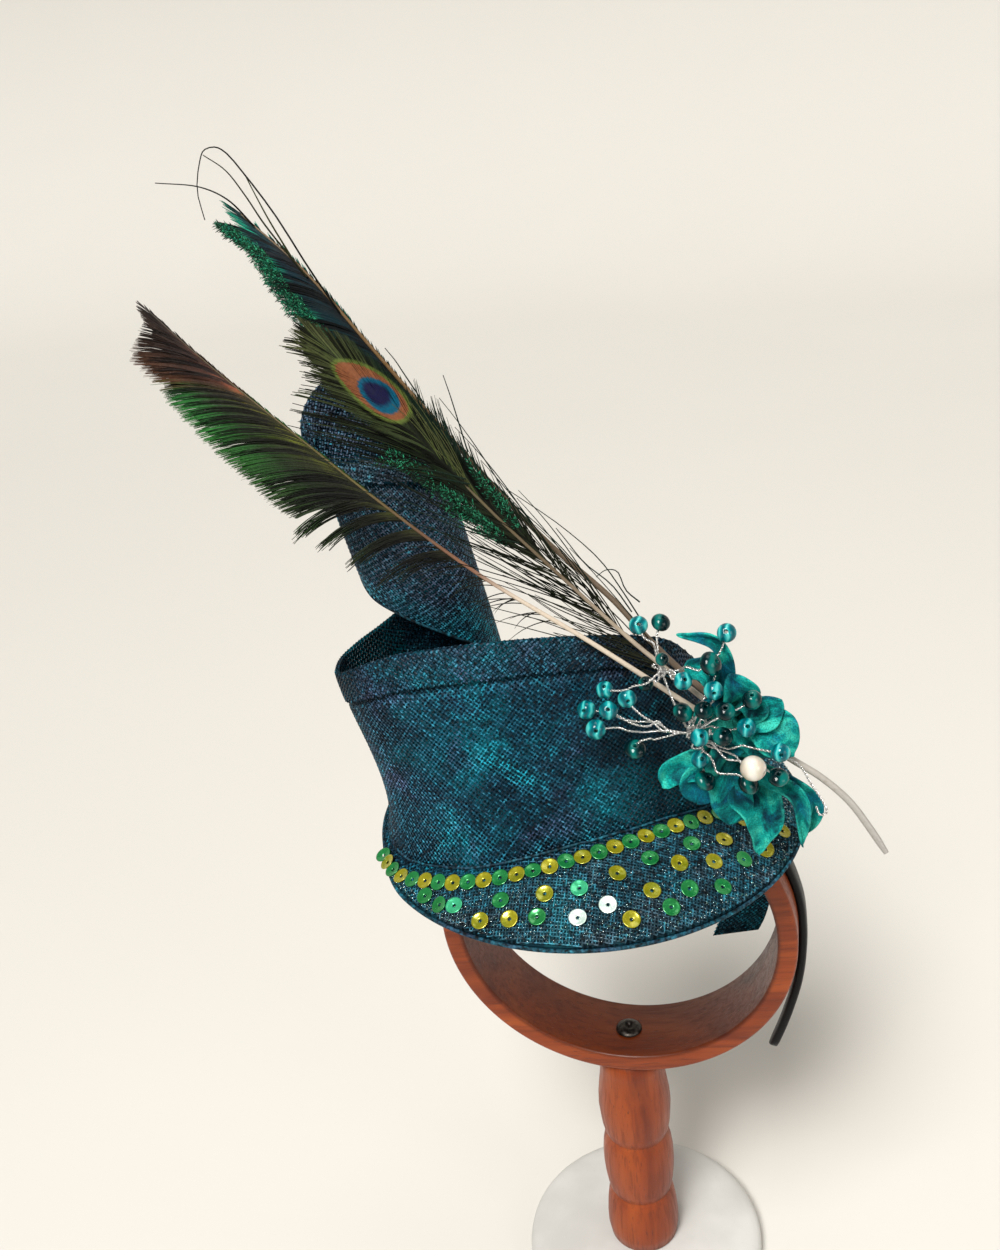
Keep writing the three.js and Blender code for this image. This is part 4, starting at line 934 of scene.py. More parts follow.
# The ring's inside is painted at half brightness, a painted shade.
ring_wood = wood_material("ring_wood", (0, math.radians(8), 0), 0.5)
screw_metal = metal_material("dark_screw_metal", 0.9, 420, 4.0, SCREW_COLOURS, (0.28, 0.5), 0.08)
STAND_PIECES = (
    ("stand_foot_painted", FOOT_PROFILE, 160, (0, 0, 0), "Z", foot_material(), "stand_foot", "stand_base"),
    ("stand_post_turned", POST_PROFILE, 96, (0, 0, 0), "Z", post_wood, "stand_wood", "stand_post"),
    ("stand_ring_turned", rounded_ring_profile(), 180, RING_CENTRE, "Y", ring_wood, "stand_wood",
     "stand_ring"),
    ("screw_head", SCREW_PROFILE, 40, (0, 0, SCREW_SEAT), "Z", screw_metal, "screw_metal", "stand_screw"),
)
for name, profile, sides, centre, axis, material, slot, node in STAND_PIECES:
    piece(name, turned(name, profile, sides, centre, axis), material, [node])


# Headband

def headband_mesh(columns=160):
    share = np.linspace(0, 1, columns)
    line = spline(np.stack([HEADBAND[:, 0], 0 * HEADBAND[:, 0], HEADBAND[:, 1]], 1), share)
    width = np.interp(share, np.linspace(0, 1, len(HEADBAND)), HEADBAND[:, 2])
    width = width * np.sqrt(np.clip(np.minimum(share, 1 - share) * 60 + 0.25, 0, 1))
    outward = np.cross(unit(np.gradient(line, axis=0)), (0, 1, 0))
    section = [(math.cos(a), math.sin(a)) for a in np.linspace(0, 2 * math.pi, 20, endpoint=False)]
    places, flat = [], []
    for c, s in section:
        across = np.sign(c) * abs(c) ** 0.55 * width / 2
        lift = np.sign(s) * abs(s) ** 0.8 * HEADBAND_THICKNESS / 2 + HEADBAND_SHIFT
        places.append(line + outward * lift + np.outer(across, (0, 1, 0)))
        flat.append(np.stack([share * 0.42, np.full(columns, c * 0.007)], 1))
    places, flat = np.swapaxes(places, 0, 1).reshape(-1, 3), np.swapaxes(flat, 0, 1).reshape(-1, 2)
    first_cap = list(range(len(section)))
    faces = grid_faces(columns, len(section), wrap=True)
    faces += [first_cap[::-1], [(columns - 1) * len(section) + i for i in first_cap]]
    return new_mesh("headband_satin", places, faces=faces, uv=flat)


piece("headband_satin", headband_mesh(), satin_material(), ["headband"])


# Weaving

def weave(name, place, size, pitch, keep, slanted, seed, swing=STRAND_SWING, half=STRAND_HALF):
    """Over-and-under strands on place(s, t, lift): both families at 45 degrees, or square to s and t."""
    long, wide = size
    step = pitch * math.sqrt(2) if slanted else pitch
    rng = np.random.default_rng(seed)
    verts, lies, halves, tints, edges = [], [], [], [], []
    for family in (0, 1):
        if slanted:
            first, last = (-wide / step - 1, long / step) if family else (0, (long + wide) / step + 1)
            rows, knots = np.floor(np.arange(first, last)), np.arange(0, 2 * wide / step + 1)
            k, j = np.meshgrid(rows, knots, indexing="ij")
            t = j * step / 2
            s = k * step + (t if family else -t)
            over = (j + family) % 2 == 0
        else:
            span, count = (wide, long) if family else (long, wide)
            k, j = np.meshgrid(np.arange(0, count / step + 1), np.arange(0, span / step + 1), indexing="ij")
            s, t = (k * step, j * step) if family else (j * step, k * step)
            over = (k + j + family) % 2 == 0
        kept = keep(s, t)
        index = np.full(s.shape, -1)
        index[kept] = np.arange(kept.sum()) + sum(len(v) for v in verts)
        joined = kept[:, 1:] & kept[:, :-1]
        edges.append(np.stack([index[:, :-1][joined], index[:, 1:][joined]], 1))
        spot, lie = place(s[kept], t[kept], np.where(over, swing, -swing)[kept])
        own = rng.uniform(size=(s.shape[0], 1)) + np.zeros_like(s)
        thick = half * (0.82 + 0.36 * rng.uniform(size=(s.shape[0], 1))) + rng.normal(0, 0.04, s.shape)
        verts.append(spot)
        lies.append(lie)
        halves.append(thick[kept])
        tints.append(own[kept])
    return new_mesh(name, np.vstack(verts), edges=np.vstack(edges).tolist(), lie=np.vstack(lies),
                    half=np.concatenate(halves), tint=np.concatenate(tints))


def edge_roll(name, line, radius, material):
    """A narrow rolled edge along a line."""
    count = len(line)
    ahead = unit(np.gradient(line, axis=0))
    lie = unit(np.cross(ahead, np.cross((0.1, 0.2, 1.0), ahead)))
    base = new_mesh(name, line, edges=chain(count).tolist(), lie=lie, half=np.full(count, radius),
                    tint=np.full(count, 0.5))
    return strand_piece(name, base, material, sides=10, flatness=1.0)


# Swathe

def swathe_point(u, v):
    """The strip's middle surface, v from 0 at the foot to 1 at the fold."""
    foot, top = spline(SWATHE[:, :3], u), spline(SWATHE[:, 3:6], u)
    step = 1e-3
    low, high = np.clip(u - step, 0, 1), np.clip(u + step, 0, 1)
    heading = unit(spline(SWATHE[:, :3], high) - spline(SWATHE[:, :3], low))
    heading = heading + unit(spline(SWATHE[:, 3:6], high) - spline(SWATHE[:, 3:6], low))
    outward = unit(np.stack([-heading[:, 1], heading[:, 0], 0 * heading[:, 0]], 1))
    waist = np.interp(u, np.linspace(0, 1, len(SWATHE)), SWATHE[:, 6])
    pinch = 6.75 * v * (1 - v) ** 2
    return foot + (top - foot) * v[:, None] - outward * (waist * pinch)[:, None]


def swathe_out(u, v):
    """Directions out of the strip and up it."""
    step = 2e-3
    v = np.clip(v, 0, 1)
    ahead = swathe_point(np.clip(u + step, 0, 1), v) - swathe_point(np.clip(u - step, 0, 1), v)
    up = swathe_point(u, v + step) - swathe_point(u, v - step)
    return unit(np.cross(up, ahead)), unit(up)


def dome_height(x, y):
    reach2 = (x - DOME_X) ** 2 + (y - DOME_Y) ** 2
    height = DOME_CENTRE[2] + np.sqrt(np.maximum(DOME_SPHERE ** 2 - reach2, 0))
    return np.where(reach2 < (DOME_RIM + 1) ** 2, height, -1e3)


def swathe_tables(share):
    """Length along the strip, its height, and the share of it at which it leaves the dome."""
    run = run_along(swathe_point(share, np.full(len(share), 0.5)))
    rise = np.linalg.norm(spline(SWATHE[:, 3:6], share) - spline(SWATHE[:, :3], share), axis=1)
    start = np.zeros(len(share))
    for v in np.linspace(0, 0.25, 60):
        spot = swathe_point(share, np.full(len(share), v))
        start = np.where(spot[:, 2] < dome_height(spot[:, 0], spot[:, 1]) + 0.5, v + 0.004, start)
    return run, rise, start


SWATHE_SHARE = np.linspace(0, 1, 1201)
SWATHE_RUN, SWATHE_RISE, SWATHE_START = swathe_tables(SWATHE_SHARE)
SWATHE_LONG = SWATHE_RUN[-1]
SWATHE_WIDE = SWATHE_RISE.max() * (2 - HEM_FROM) + HEM_ROLL


def swathe_at(s):
    """Share of the strip at a length along it, its height there, and where it leaves the dome."""
    u = np.interp(s, SWATHE_RUN, SWATHE_SHARE)
    rise = np.interp(u, SWATHE_SHARE, SWATHE_RISE)
    return u, rise, np.interp(u, SWATHE_SHARE, SWATHE_START) * rise


def swathe_cloth(s, t, lift):
    """A place of the flat strip on the folded one: up the wall, over the fold and down the hem outside."""
    u, rise, _ = swathe_at(s)
    turn = np.clip((t - rise) / HEM_FOLD, 0, math.pi)
    down = np.maximum(t - rise - HEM_ROLL, 0)
    v = np.minimum(t, rise) / rise - down / rise
    hem = smooth_step((v - HEM_FROM + 0.045) / 0.04)
    shift = np.where(t <= rise, -HEM_FOLD * hem, -HEM_FOLD * np.cos(turn))
    outward, up = swathe_out(u, v)
    lie = outward * np.cos(turn)[:, None] - up * np.sin(turn)[:, None]
    spot = swathe_point(u, v) + outward * shift[:, None] + up * (HEM_FOLD * np.sin(turn))[:, None]
    return spot + lie * lift[:, None], lie


def swathe_keep(first, last):
    def keep(s, t):
        _, rise, low = swathe_at(s)
        inside = (s >= max(first, 0.4)) & (s <= min(last, SWATHE_LONG - 0.4))
        return inside & (t >= low + 0.2) & (t <= rise * (2 - HEM_FROM) + HEM_ROLL)
    return keep


def swathe_sheet(columns=170, wall_rows=29):
    s = np.linspace(0, SWATHE_LONG, columns)
    _, rise, low = swathe_at(s)
    wall = np.linspace(0, 1, wall_rows)[:, None] * (rise - low) + low
    turn = rise + np.linspace(0.17, 1, 6)[:, None] * HEM_ROLL
    hem = rise + HEM_ROLL + np.linspace(0.14, 1, 7)[:, None] * rise * (1 - HEM_FROM)
    t = np.vstack([wall, turn, hem])
    flat = np.stack([np.tile(s, len(t)), t.ravel()], 1)
    spot, _ = swathe_cloth(*flat.T, np.zeros(t.size))
    return new_mesh("swathe_cloth", spot, faces=grid_faces(len(t), columns), uv=flat * MM)


sinamay = strand_material("sinamay_strands", CLOTH_DYES, 0.8, 32.0, 0.36, 0.75, 0.3, 0.75)
tail_strand = strand_material("tail_strands", TAIL_DYES_WITH_PAINTED_LIGHT, 0.2, 60.0, 0.4, 0.5)
under_cloth = sheet_material("sinamay_under_layer", CLOTH_DYES, 26.0)
bound_cloth = strand_material("sinamay_binding", BINDING_DYES, 0.2, 60.0, 0.7, 0.2)

swathe = piece("swathe_cloth", swathe_sheet(), under_cloth, ["swathe"])
thicken(swathe, CLOTH_THICKNESS)
for number, (first, last) in enumerate(zip(SWATHE_CUTS, SWATHE_CUTS[1:])):
    name = f"swathe_weave_{number + 1}"
    kept = swathe_keep(first * SWATHE_LONG - 0.6, last * SWATHE_LONG + 0.6)
    strands = weave(name, swathe_cloth, (SWATHE_LONG, SWATHE_WIDE), STRAND_PITCH, kept, True, 11)
    strand_piece(name, strands, sinamay)

END_POINTS = 40
foot_line = swathe_point(SWATHE_SHARE[::4], SWATHE_START[::4])
right_end = swathe_point(np.zeros(END_POINTS), np.linspace(0.99, SWATHE_START[0], END_POINTS))
left_end = swathe_point(np.ones(END_POINTS), np.linspace(0, 0.99, END_POINTS))
roll = np.vstack([right_end[:-1], foot_line[1:-1], left_end[1:]])
edge_roll("swathe_rolled_edge", roll, 0.6, bound_cloth)


# Dome

def dome_z(reach, lift):
    return DOME_CENTRE[2] + np.sqrt((DOME_SPHERE + lift) ** 2 - reach ** 2)


def dome_point(turn_degrees, reach, lift):
    turn = np.radians(turn_degrees)
    height = dome_z(reach, lift) + 0 * turn
    return np.stack([DOME_X + reach * np.cos(turn), DOME_Y + reach * np.sin(turn), height], -1)


def rim_reach(turn_degrees):
    """Radius of the rim; it draws in under the left end of the swathe."""
    away = np.abs((np.asarray(turn_degrees, float) - 178 + 180) % 360 - 180)
    return DOME_RIM - 3.4 * smooth_step((48 - away) / 26)


def net_edge(turn_degrees):
    return np.interp(turn_degrees, NET_EDGE[:, 0], NET_EDGE[:, 1])


def crossways(spots):
    """UV of the dome's cloth, turned by 45 degrees so that its weave lies square."""
    return spots[:, :2] @ np.array(((0.7071, -0.7071), (0.7071, 0.7071))) * MM


def dome_shell(columns=180, rows=20):
    """The dome's cloth: outer and inner skin, closed round the rim."""
    turn = np.linspace(-180, 180, columns, endpoint=False)
    turns = np.tile(turn, (rows - 1, 1))
    share = np.linspace(0, 1, rows)[1:, None]
    outer = dome_point(turns, share * rim_reach(turn), DOME_SKIN).reshape(-1, 3)
    inner = dome_point(turns, share * (rim_reach(turn) - 0.6), -DOME_WALL).reshape(-1, 3)
    verts = np.vstack([outer, inner, dome_point(0.0, 0.0, DOME_SKIN), dome_point(0.0, 0.0, -DOME_WALL)])
    count, last = len(outer), (rows - 2) * columns
    ring = [(i, (i + 1) % columns) for i in range(columns)]
    faces = [quad[::-1] for quad in grid_faces(rows - 1, columns, wrap=True)]
    faces += [[i + count for i in quad[::-1]] for quad in faces]
    faces += [[2 * count, i, j] for i, j in ring] + [[2 * count + 1, count + j, count + i] for i, j in ring]
    faces += [[last + i, count + last + i, count + last + j, last + j] for i, j in ring]
    return new_mesh("dome_cloth", verts, faces=faces, uv=crossways(verts))


def dome_cloth(lift_middle):
    """Square strands over the dome, seen from above as a grid."""
    def place(s, t, lift):
        x, y = s - DOME_RIM, t - DOME_RIM
        reach = np.minimum(np.hypot(x, y), DOME_RIM - 0.1)
        spot = np.stack([x + DOME_X, y + DOME_Y, dome_z(reach, lift_middle)], -1)
        lie = unit(spot - DOME_CENTRE)
        return spot + lie * lift[:, None], lie
    return place


def round_dome(s, t):
    """Reach and turn of a place in the square that is laid over the dome."""
    x, y = s - DOME_RIM, t - DOME_RIM
    return np.hypot(x, y), np.degrees(np.arctan2(y, x))


def under_net(reach, turn, beyond):
    """Whether a place lies past the net's upper edge by more than beyond."""
    return (turn > NET_EDGE[0, 0]) & (turn < NET_EDGE[-1, 0]) & (reach > net_edge(turn) + beyond)


def dome_keep(s, t):
    reach, turn = round_dome(s, t)
    return (reach < rim_reach(turn) - 0.5) & ~under_net(reach, turn, 3.0)


def net_keep(s, t):
    reach, turn = round_dome(s, t)
    return (reach < rim_reach(turn) - 0.3) & under_net(reach, turn, 0.3)


DOME_SIZE = (2 * DOME_RIM, 2 * DOME_RIM)
dome = piece("dome_cloth", dome_shell(), under_cloth, ["base_cap"])
dome_strands = weave("dome_weave", dome_cloth(DOME_SKIN), DOME_SIZE, DOME_PITCH, dome_keep, False, 5)
dome_weave = strand_piece("dome_weave", dome_strands, sinamay)
rim_turn = np.linspace(-180, 180, 361)
rim_line = dome_point(rim_turn, rim_reach(rim_turn) - 0.3, -0.9)
rim_binding = edge_roll("dome_rim_binding", rim_line, 0.85, bound_cloth)


# Sequin band

def band_mesh(columns=220, rows=12):
    turn = np.linspace(NET_EDGE[0, 0], NET_EDGE[-1, 0], columns)
    rim = rim_reach(turn) - 0.2
    share = np.linspace(0, 1, rows)[:, None]
    reach = rim + (np.minimum(net_edge(turn), rim - 0.5) - rim) * share
    spot = dome_point(np.tile(turn, (rows, 1)), reach, 0.55).reshape(-1, 3)
    return new_mesh("band_net", spot, faces=grid_faces(rows, columns), uv=crossways(spot))


def sequin_shape(thickness=0.16, sides=28):
    """A round disc, a little cupped, with a hole in the middle."""
    rings = ((0.7, -0.05), (1.3, 0.0), (2.3, 0.12), (3.0, 0.3), (3.5, 0.42))
    upper = [(r, z + thickness / 2) for r, z in rings]
    lower = [(r, z - thickness / 2) for r, z in rings]
    return turned("sequin", lower + upper[::-1], sides)


def sequin_places():
    """Turn, reach and tint of the loose sequins and of the row, which is spaced along the net's edge."""
    rows = list(LOOSE_SEQUINS)
    turn, green = SEQUIN_ROW["from"], False
    while turn <= SEQUIN_ROW["to"]:
        here, ahead = (net_edge(a) + SEQUIN_ROW["below_edge"] for a in (turn, turn + 1))
        rows.append((turn, here, GREEN if green else YELLOW))
        gap = np.linalg.norm(dome_point(turn + 1.0, ahead, 0) - dome_point(float(turn), here, 0))
        turn, green = turn + SEQUIN_ROW["spacing"] / gap, not green
    return np.array(rows)


def dome_facing(rng, spots, jitter):
    """Directions out of the dome, each turned a little by chance."""
    return unit(unit(spots - DOME_CENTRE) + rng.normal(0, jitter, spots.shape))


band_strand = strand_material("band_strands", BAND_DYES, 0.6, 60.0, 0.42, 0.8)
band_under = sheet_material("band_under_layer", BAND_DYES, 60.0)
band = piece("band_net", band_mesh(), band_under, ["sequin_band"])
thicken(band, CLOTH_THICKNESS)
band_strands = weave("band_weave", dome_cloth(NET_LIFT), DOME_SIZE, NET_PITCH, net_keep, False, 8, 0.22, 0.40)
band_weave = strand_piece("band_weave", band_strands, band_strand)

rng = np.random.default_rng(23)
rows = sequin_places()
spots = dome_point(rows[:, 0], rows[:, 1], SEQUIN_LIFT)
sequins = scatter("sequins", spots, dome_facing(rng, spots, 0.07), np.ones(len(rows)), rows[:, 2],
                  rng.uniform(0, 6, len(rows)), sequin_shape(), sequin_material())

turns = rng.uniform(NET_EDGE[0, 0], NET_EDGE[-1, 0], SPARKLES)
edge_there = net_edge(turns)
reaches = edge_there + (DOME_RIM - 0.8 - edge_there) * np.sqrt(rng.uniform(0.01, 1, SPARKLES))
spots = dome_point(turns, reaches, NET_LIFT + 0.42)
fleck_ring = ((-0.3, -0.14, 0), (0.3, -0.14, 0), (0.3, 0.14, 0), (-0.3, 0.14, 0))
fleck = spindle("fleck", fleck_ring, (0, 0, -0.1), (0, 0, 0.1))
sparkle = tinted_material("net_sparkle", SPARKLE_COLOURS, 800, (0.12, 0.3), Metallic=0.9, Coat_Weight=0.3)
glitter = scatter("band_sparkle", spots, dome_facing(rng, spots, 0.5), rng.uniform(0.4, 1.5, SPARKLES) ** 1.3,
                  rng.uniform(size=SPARKLES), rng.uniform(0, 6, SPARKLES), fleck, sparkle)


# Tail

def tail_place(s, t, lift):
    """s down the strip from the dome, t across it from left to right."""
    down, across = np.clip(s / TAIL_LONG, 0, 1), np.clip(t / TAIL_WIDE, 0, 1)
    top_x = TAIL_TOP[0] + (TAIL_TOP[1] - TAIL_TOP[0]) * across
    top_z = dome_z(np.hypot(top_x - DOME_X, TAIL_Y - DOME_Y), -DOME_WALL - 1.2)
    end_x, end_z = (left + (right - left) * across for left, right in zip(*TAIL_END))
    wave = TAIL_WAVE * np.sin(math.pi * down) * (2 * across - 1)
    sweep = TAIL_SWEEP * smooth_step(down / 0.5) * (1 - down ** 8)
    x, z = top_x + (end_x - top_x) * down + sweep, top_z + (end_z - top_z) * down
    spot = np.stack([x, TAIL_Y + wave, z], -1)
    lie = np.tile((0.0, -1.0, 0.0), (len(spot), 1))
    return spot + lie * lift[:, None], lie


def tail_sheet(rows=40, columns=12):
    down, across = np.linspace(0, TAIL_LONG - 2, rows), np.linspace(0.4, TAIL_WIDE - 0.4, columns)
    flat = np.stack(np.meshgrid(down, across, indexing="ij"), -1).reshape(-1, 2)
    spots, _ = tail_place(*flat.T, np.zeros(len(flat)))
    return new_mesh("tail_cloth", spots, faces=grid_faces(rows, columns), uv=flat * MM)


def tail_keep(s, t):
    fray = TAIL_LONG - 3 + 3 * np.sin(t * 5.1) * np.sin(t * 1.7)
    return (s >= 0) & (s <= fray) & (t >= 0) & (t <= TAIL_WIDE)


tail = piece("tail_cloth", tail_sheet(), under_cloth, ["tail"])
thicken(tail, CLOTH_THICKNESS)
tail_strands = weave("tail_weave", tail_place, (TAIL_LONG, TAIL_WIDE), STRAND_PITCH, tail_keep, True, 3)
tail_weave = strand_piece("tail_weave", tail_strands, tail_strand)


# Feathers

def feather_line(points, samples=500):
    """A shaft sampled evenly, with its directions to the tip, across it and towards the viewer."""
    share = np.linspace(0, 1, samples * 4)
    run = run_along(spline(points, share))
    line = spline(points, np.interp(np.linspace(0, run[-1], samples), run, share))
    ahead = unit(np.gradient(line, axis=0))
    across = unit(np.cross(ahead, VIEW_SIDE))
    face = unit(np.cross(across, ahead))
    return {"line": line, "ahead": ahead, "across": across, "face": face, "length": run[-1]}


def on_shaft(feather, key, share):
    place = np.clip(share, 0, 1) * (len(feather["line"]) - 1)
    low = np.minimum(place.astype(int), len(feather["line"]) - 2)
    part = (place - low)[:, None]
    return feather[key][low] * (1 - part) + feather[key][low + 1] * part


def locks(feather, share, width, seed):
    """Each barb's place in its lock, from -1 to 1, and a value shared by the lock."""
    rng = np.random.default_rng(seed)
    cuts = np.concatenate([[0], np.cumsum(rng.uniform(width[0], width[1], 400))])
    place = share * feather["length"]
    number = np.searchsorted(cuts, place, side="right") - 1
    inside = (place - cuts[number]) / (cuts[number + 1] - cuts[number]) * 2 - 1
    return inside, rng.uniform(-1, 1, 402)[number]


def barbs(feather, share, side, length, start, bend, lift, half, seed, points=9, taper=0.8, tint=None):
    """Barbs that leave the shaft at start degrees from its tip and turn by bend degrees to their end."""
    rng = np.random.default_rng(seed)
    share = np.asarray(share, float)
    side, length, start, bend, lift, half = (
        np.broadcast_to(np.asarray(v, float), share.shape)[:, None]
        for v in (side, length, start, bend, lift, half))
    step = np.linspace(0, 1, points)
    angle = np.radians(start + bend * step)

    def run(values):
        middle = (values[:, 1:] + values[:, :-1]) / 2 * length / (points - 1)
        return np.concatenate([np.zeros((len(share), 1)), np.cumsum(middle, axis=1)], axis=1)

    beside, up = side * run(np.sin(angle)), run(np.cos(angle))
    root, ahead, across, face = (
        on_shaft(feather, key, share)[:, None] for key in ("line", "ahead", "across", "face"))
    spots = root + across * beside[..., None] + ahead * up[..., None] + face * (lift * step ** 1.4)[..., None]
    columns = {"lie": np.broadcast_to(face, spots.shape).reshape(-1, 3),
               "half": (half * (1 - taper * step ** 2.5)).ravel(),
               "out": np.tile(step, len(share)), "shaft": np.repeat(share, points),
               "tint": np.repeat(rng.uniform(size=len(share)) if tint is None else tint, points),
               "across_mm": beside.ravel(), "along_mm": (share[:, None] * feather["length"] + up).ravel()}
    first = (np.arange(len(share))[:, None] * points + np.arange(points - 1)).ravel()
    return spots.reshape(-1, 3), np.stack([first, first + 1], 1), columns


def laid_barbs(feather, side, tip, reach, start, end, lift, half, seed, **finish):
    """Barbs that end at a share of the shaft and a reach from it, and turn between two angles on the way."""
    first, last = np.radians(start), np.radians(end)
    length = reach * (last - first) / (np.cos(first) - np.cos(last))
    root = tip - length * (np.sin(last) - np.sin(first)) / (last - first) / feather["length"]
    return barbs(feather, np.clip(root, 0, 1), side, length, start, end - start, lift, half, seed, **finish)


def vane(feather, side, edge, count, seed, lock, half, lift=0.5, tone=1.0, ragged=0.5, points=10,
         closing=0.15, reach_share=1.0):
    """Barbs in locks, out to a share of the vane's edge."""
    rng = np.random.default_rng(seed)
    edge = np.array(edge, float) * (1, reach_share, 1, 1)
    tip = np.linspace(edge[0, 0], edge[-1, 0], count)
    reach, start, end = (np.interp(tip, edge[:, 0], column) for column in edge.T[1:])
    inside, own = locks(feather, tip, lock, seed)
    middle = 1 - 2 * inside ** 2
    reach = np.maximum(reach + ragged * (0.6 * own + 0.5 * middle + rng.normal(0, 0.7, count)), 0.6)
    # Painted shade: each lock is lighter in its middle and darker at its edges, and the layers underneath are
    # darkened by tone.
    tint = np.clip(0.5 + 0.26 * own + 0.2 * middle + rng.normal(0, 0.13, count), 0, 1) * tone
    closed = tip - closing * inside * np.mean(lock) / feather["length"]
    return laid_barbs(feather, side, closed, reach, start + rng.normal(0, 0.6, count), end,
                      lift * (own + 0.6 * middle), half, seed, points=points, tint=tint)


def clumps(feather, side, ends, start, end, seed, half):
    """Separate clumps of barbs."""
    rng = np.random.default_rng(seed)
    tip, reach, numbers = np.array(ends, float).T
    tip, reach = (np.repeat(column, numbers.astype(int)) for column in (tip, reach))
    count = len(tip)
    fan = rng.uniform(-1, 1, count)
    tip = tip + rng.normal(0, 0.003, count)
    reach = reach * (1 + rng.normal(0, 0.05, count))
    end = end + 4 * rng.uniform(-1, 1, count)
    return laid_barbs(feather, side, tip, reach, start + 6 * fan, end, rng.normal(0.4, 0.7, count), half,
                      seed, points=12, taper=0.6)


def loose_lines(lines, half, points=14):
    """Single strands through given places."""
    sets = []
    step = np.linspace(0, 1, points)
    for number, line in enumerate(lines):
        columns = {"lie": np.tile(VIEW_SIDE, (points, 1)), "half": half * (1 - 0.5 * step), "out": step,
                   "shaft": np.full(points, 0.4), "tint": np.full(points, (number * 0.37) % 1),
                   "across_mm": np.full(points, 40.0), "along_mm": np.full(points, 0.0)}
        sets.append((spline(line, step), chain(points), columns))
    return sets


def barb_piece(name, sets, material, replaces):
    """One piece of several sets of barbs."""
    starts = np.cumsum([0] + [len(spots) for spots, _, _ in sets])
    edges = [pairs + start for (_, pairs, _), start in zip(sets, starts)]
    columns = {key: np.concatenate([values[key] for _, _, values in sets]) for key in sets[0][2]}
    verts = np.vstack([spots for spots, _, _ in sets])
    base = new_mesh(name, verts, edges=np.vstack(edges).tolist(), **columns)
    return strand_piece(name, base, material, replaces)


def shaft_piece(name, feather, radii, material, sunk_from=2.0, points=160):
    """The shaft, below its barbs from a share on."""
    share = np.linspace(0, 1, points)
    face = on_shaft(feather, "face", share)
    spots = on_shaft(feather, "line", share) - face * (1.1 * smooth_step((share - sunk_from) / 0.08))[:, None]
    base = new_mesh(name, spots, edges=chain(points).tolist(), lie=face, half=lookup(share, radii),
                    shaft=share, tint=np.full(points, 0.5))
    return strand_piece(name, base, material, sides=10, flatness=0.85)


# Materials of the feathers

def barb_shades(tree, inner, outer, inner_to=0.25, dip=1.0):
    """Colour of a barb from its place on the shaft and along itself, darker by dip in its middle."""
    shaft, tint, along = (value_of(tree, key) for key in ("shaft", "tint", "out"))
    reach = spread(tree, math_node(tree, "ADD", along, times(tree, tint, 0.3)), inner_to, 1.0)
    wander = math_node(tree, "ADD", shaft, times(tree, math_node(tree, "SUBTRACT", tint, 0.5), 0.02))
    colour = mix(tree, reach, ramp(tree, wander, inner), ramp(tree, wander, outer))
    hollow = [(place, grey, grey, grey) for place, grey in ((0.08, 1), (0.28, dip), (0.58, dip), (0.88, 1))]
    colour = mix(tree, 1.0, colour, ramp(tree, along, hollow), "MULTIPLY")
    return scaled(tree, colour, spread(tree, tint, 0.0, 1.0, 0.10, 1.8))


def dress_barb(made, tree, coords, colour):
    fine = noise(tree, coords, 900, 2.0)
    return dress(made, scaled(tree, colour, spread(tree, fine, 0.25, 0.8, 0.82, 1.18)),
                 spread(tree, fine, 0.3, 0.7, 0.5, 0.32), relief(tree, fine, 0.1, 0.4))


def vane_material(name, inner, outer, inner_to=0.25, dip=1.0):
    made, tree, coords = new_material(name, Specular_IOR_Level=0.13)
    return dress_barb(made, tree, coords, barb_shades(tree, inner, outer, inner_to, dip))


def oval(tree, across, along, shift, half_along, half_across, narrowing):
    """Distance from the middle of an oval that narrows towards the tip, 1 on its edge."""
    y = math_node(tree, "DIVIDE", math_node(tree, "SUBTRACT", along, shift), half_along)
    narrowed = {0: y, 1: -narrowing * half_across, 2: half_across}
    x = math_node(tree, "DIVIDE", across, out(tree, "ShaderNodeMath", narrowed, operation="MULTIPLY_ADD"))
    return math_node(tree, "SQRT", math_node(tree, "ADD", times(tree, x, x), times(tree, y, y)))


# The eye from its rim inward: shift, half length, half width, narrowing, where it fades in, and colour
EYE_RINGS = (
    (0.0, 17.4, 7.0, 0.18, 1.06, 0.96, (0.080, 0.110, 0.022)),
    (0.0, 15.9, 5.9, 0.18, 1.04, 0.97, (0.17, 0.060, 0.025)),
    (-3.4, 9.2, 4.9, 0.1, 1.05, 0.92, (0.001, 0.065, 0.115)),
    (-2.2, 6.0, 3.5, 0.25, 1.2, 0.75, (0.005, 0.005, 0.030)))
EYE_LEAN = math.radians(8)


def eye_material(name, centre):
    """Barbs with the eye painted over them, its middle at a length along the shaft."""
    made, tree, coords = new_material(name, Specular_IOR_Level=0.13)
    side = value_of(tree, "across_mm")
    height = math_node(tree, "SUBTRACT", value_of(tree, "along_mm"), centre)
    cos, sin = math.cos(EYE_LEAN), math.sin(EYE_LEAN)
    across = math_node(tree, "ADD", times(tree, side, cos), times(tree, height, sin))
    along = math_node(tree, "SUBTRACT", times(tree, height, cos), times(tree, side, sin))
    own = times(tree, math_node(tree, "SUBTRACT", value_of(tree, "tint"), 0.5), 0.9)
    along = math_node(tree, "ADD", along, own)
    colour = barb_shades(tree, EYE_INNER, EYE_OUTER)
    colour = mix(tree, spread(tree, side, 5.0, 8.5, 0, 0.85), colour, (0.002, 0.013, 0.008))
    for shift, half_along, half_across, narrowing, outside, inside, paint in EYE_RINGS:
        ring = oval(tree, across, along, shift, half_along, half_across, narrowing)
        colour = mix(tree, spread(tree, ring, outside, inside), colour, paint)
    return dress_barb(made, tree, coords, colour)


